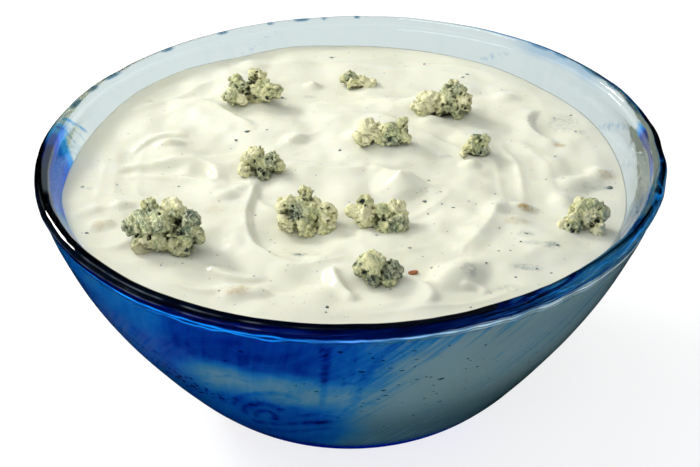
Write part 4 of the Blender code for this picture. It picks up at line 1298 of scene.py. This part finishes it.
def make_spice(material):
    """The one red-brown flake, thin and bent."""
    bm = bmesh.new()
    x, y, length, turn = SPICE
    made = bmesh.ops.create_icosphere(bm, subdivisions=3, radius=0.5)
    height = dip_height_at(x * MM, y * MM)
    for vert in made["verts"]:
        vert.co.z += 0.8 * vert.co.x ** 2
        vert.co *= 1 + 0.25 * noise.noise(vert.co * 3)
    shape = Matrix.Diagonal((length * MM, length * 0.55 * MM, 0.3 * MM, 1.0))
    spin = Euler((0.12, -0.1, turn)).to_matrix().to_4x4()
    shift = float(lean_shift(height))
    move = Matrix.Translation((x * MM - shift, y * MM, height + 0.12 * MM))
    bmesh.ops.transform(bm, verts=made["verts"], matrix=move @ spin @ shape)
    return new_piece("spice_flake", finished_mesh(bm, "spice_flake"), material, "cheese")


# The stage

def make_floor():
    """A plain pale floor."""
    bm = bmesh.new()
    bmesh.ops.create_grid(bm, x_segments=1, y_segments=1, size=4.0)
    mesh = finished_mesh(bm, "floor")
    material, tree, shader = new_material("floor")
    fill_in(tree, shader, ("Base Color", FLOOR_GREY), ("Roughness", 0.9),
            ("Emission Color", WHITE), ("Emission Strength", 0.77))
    mesh.materials.append(material)
    floor = link("floor", mesh)
    floor.visible_glossy = False


def make_light(name, spot, size, power, colour, mirrored):
    """A soft lamp at a spot, turned towards the bowl. Only a mirrored one shows in gloss."""
    lamp = bpy.data.lights.new(name, "AREA")
    lamp.shape = "RECTANGLE"
    lamp.size, lamp.size_y = size
    lamp.energy = power
    lamp.color = colour
    made = link(name, lamp)
    made.location = spot
    made.rotation_euler = (LIT_POINT - Vector(spot)).to_track_quat("-Z", "Y").to_euler()
    made.visible_glossy = mirrored


def make_lights():
    """Soft studio light: the lamps and a weak even light from all round."""
    for light in LIGHTS:
        make_light(*light)
    world = bpy.data.worlds.new("studio")
    bpy.context.scene.world = world
    world.use_nodes = True
    background = world.node_tree.nodes["Background"]
    fill_in(world.node_tree, background, ("Color", (0.95, 0.97, 1.0)), ("Strength", 0.5))
    world.cycles_visibility.glossy = False


def make_camera():
    """The photograph's view: from the front, well above the rim, turned a little."""
    rim = Vector((0.0, 0.0, BOWL_HEIGHT))
    back = Vector((0.0, -math.cos(CAMERA_ELEVATION), math.sin(CAMERA_ELEVATION)))
    spot = rim + back * CAMERA_DISTANCE
    ahead = (CAMERA_AIM - spot).normalized()
    right = ahead.cross(Vector((0, 0, 1))).normalized()
    up = right.cross(ahead)
    right, up = (
        right * math.cos(CAMERA_ROLL) - up * math.sin(CAMERA_ROLL),
        up * math.cos(CAMERA_ROLL) + right * math.sin(CAMERA_ROLL),
    )
    data = bpy.data.cameras.new("camera")
    data.lens = CAMERA_LENS
    data.sensor_width = CAMERA_SENSOR
    data.clip_start = 0.01
    camera = link("camera", data)
    turn = Matrix((right, up, -ahead)).transposed().to_4x4()
    camera.matrix_world = Matrix.Translation(spot) @ turn
    bpy.context.scene.camera = camera


def main():
    bpy.context.scene.view_settings.view_transform = "Standard"
    make_bowl(glass_material())
    make_dip(cream_material())
    cheese = cheese_material()
    for number, name in enumerate(CRUMBLES):
        make_crumble(name, number, cheese)
    make_flecks(fleck_material())
    make_spice(spice_material())
    make_floor()
    make_lights()
    make_camera()


main()
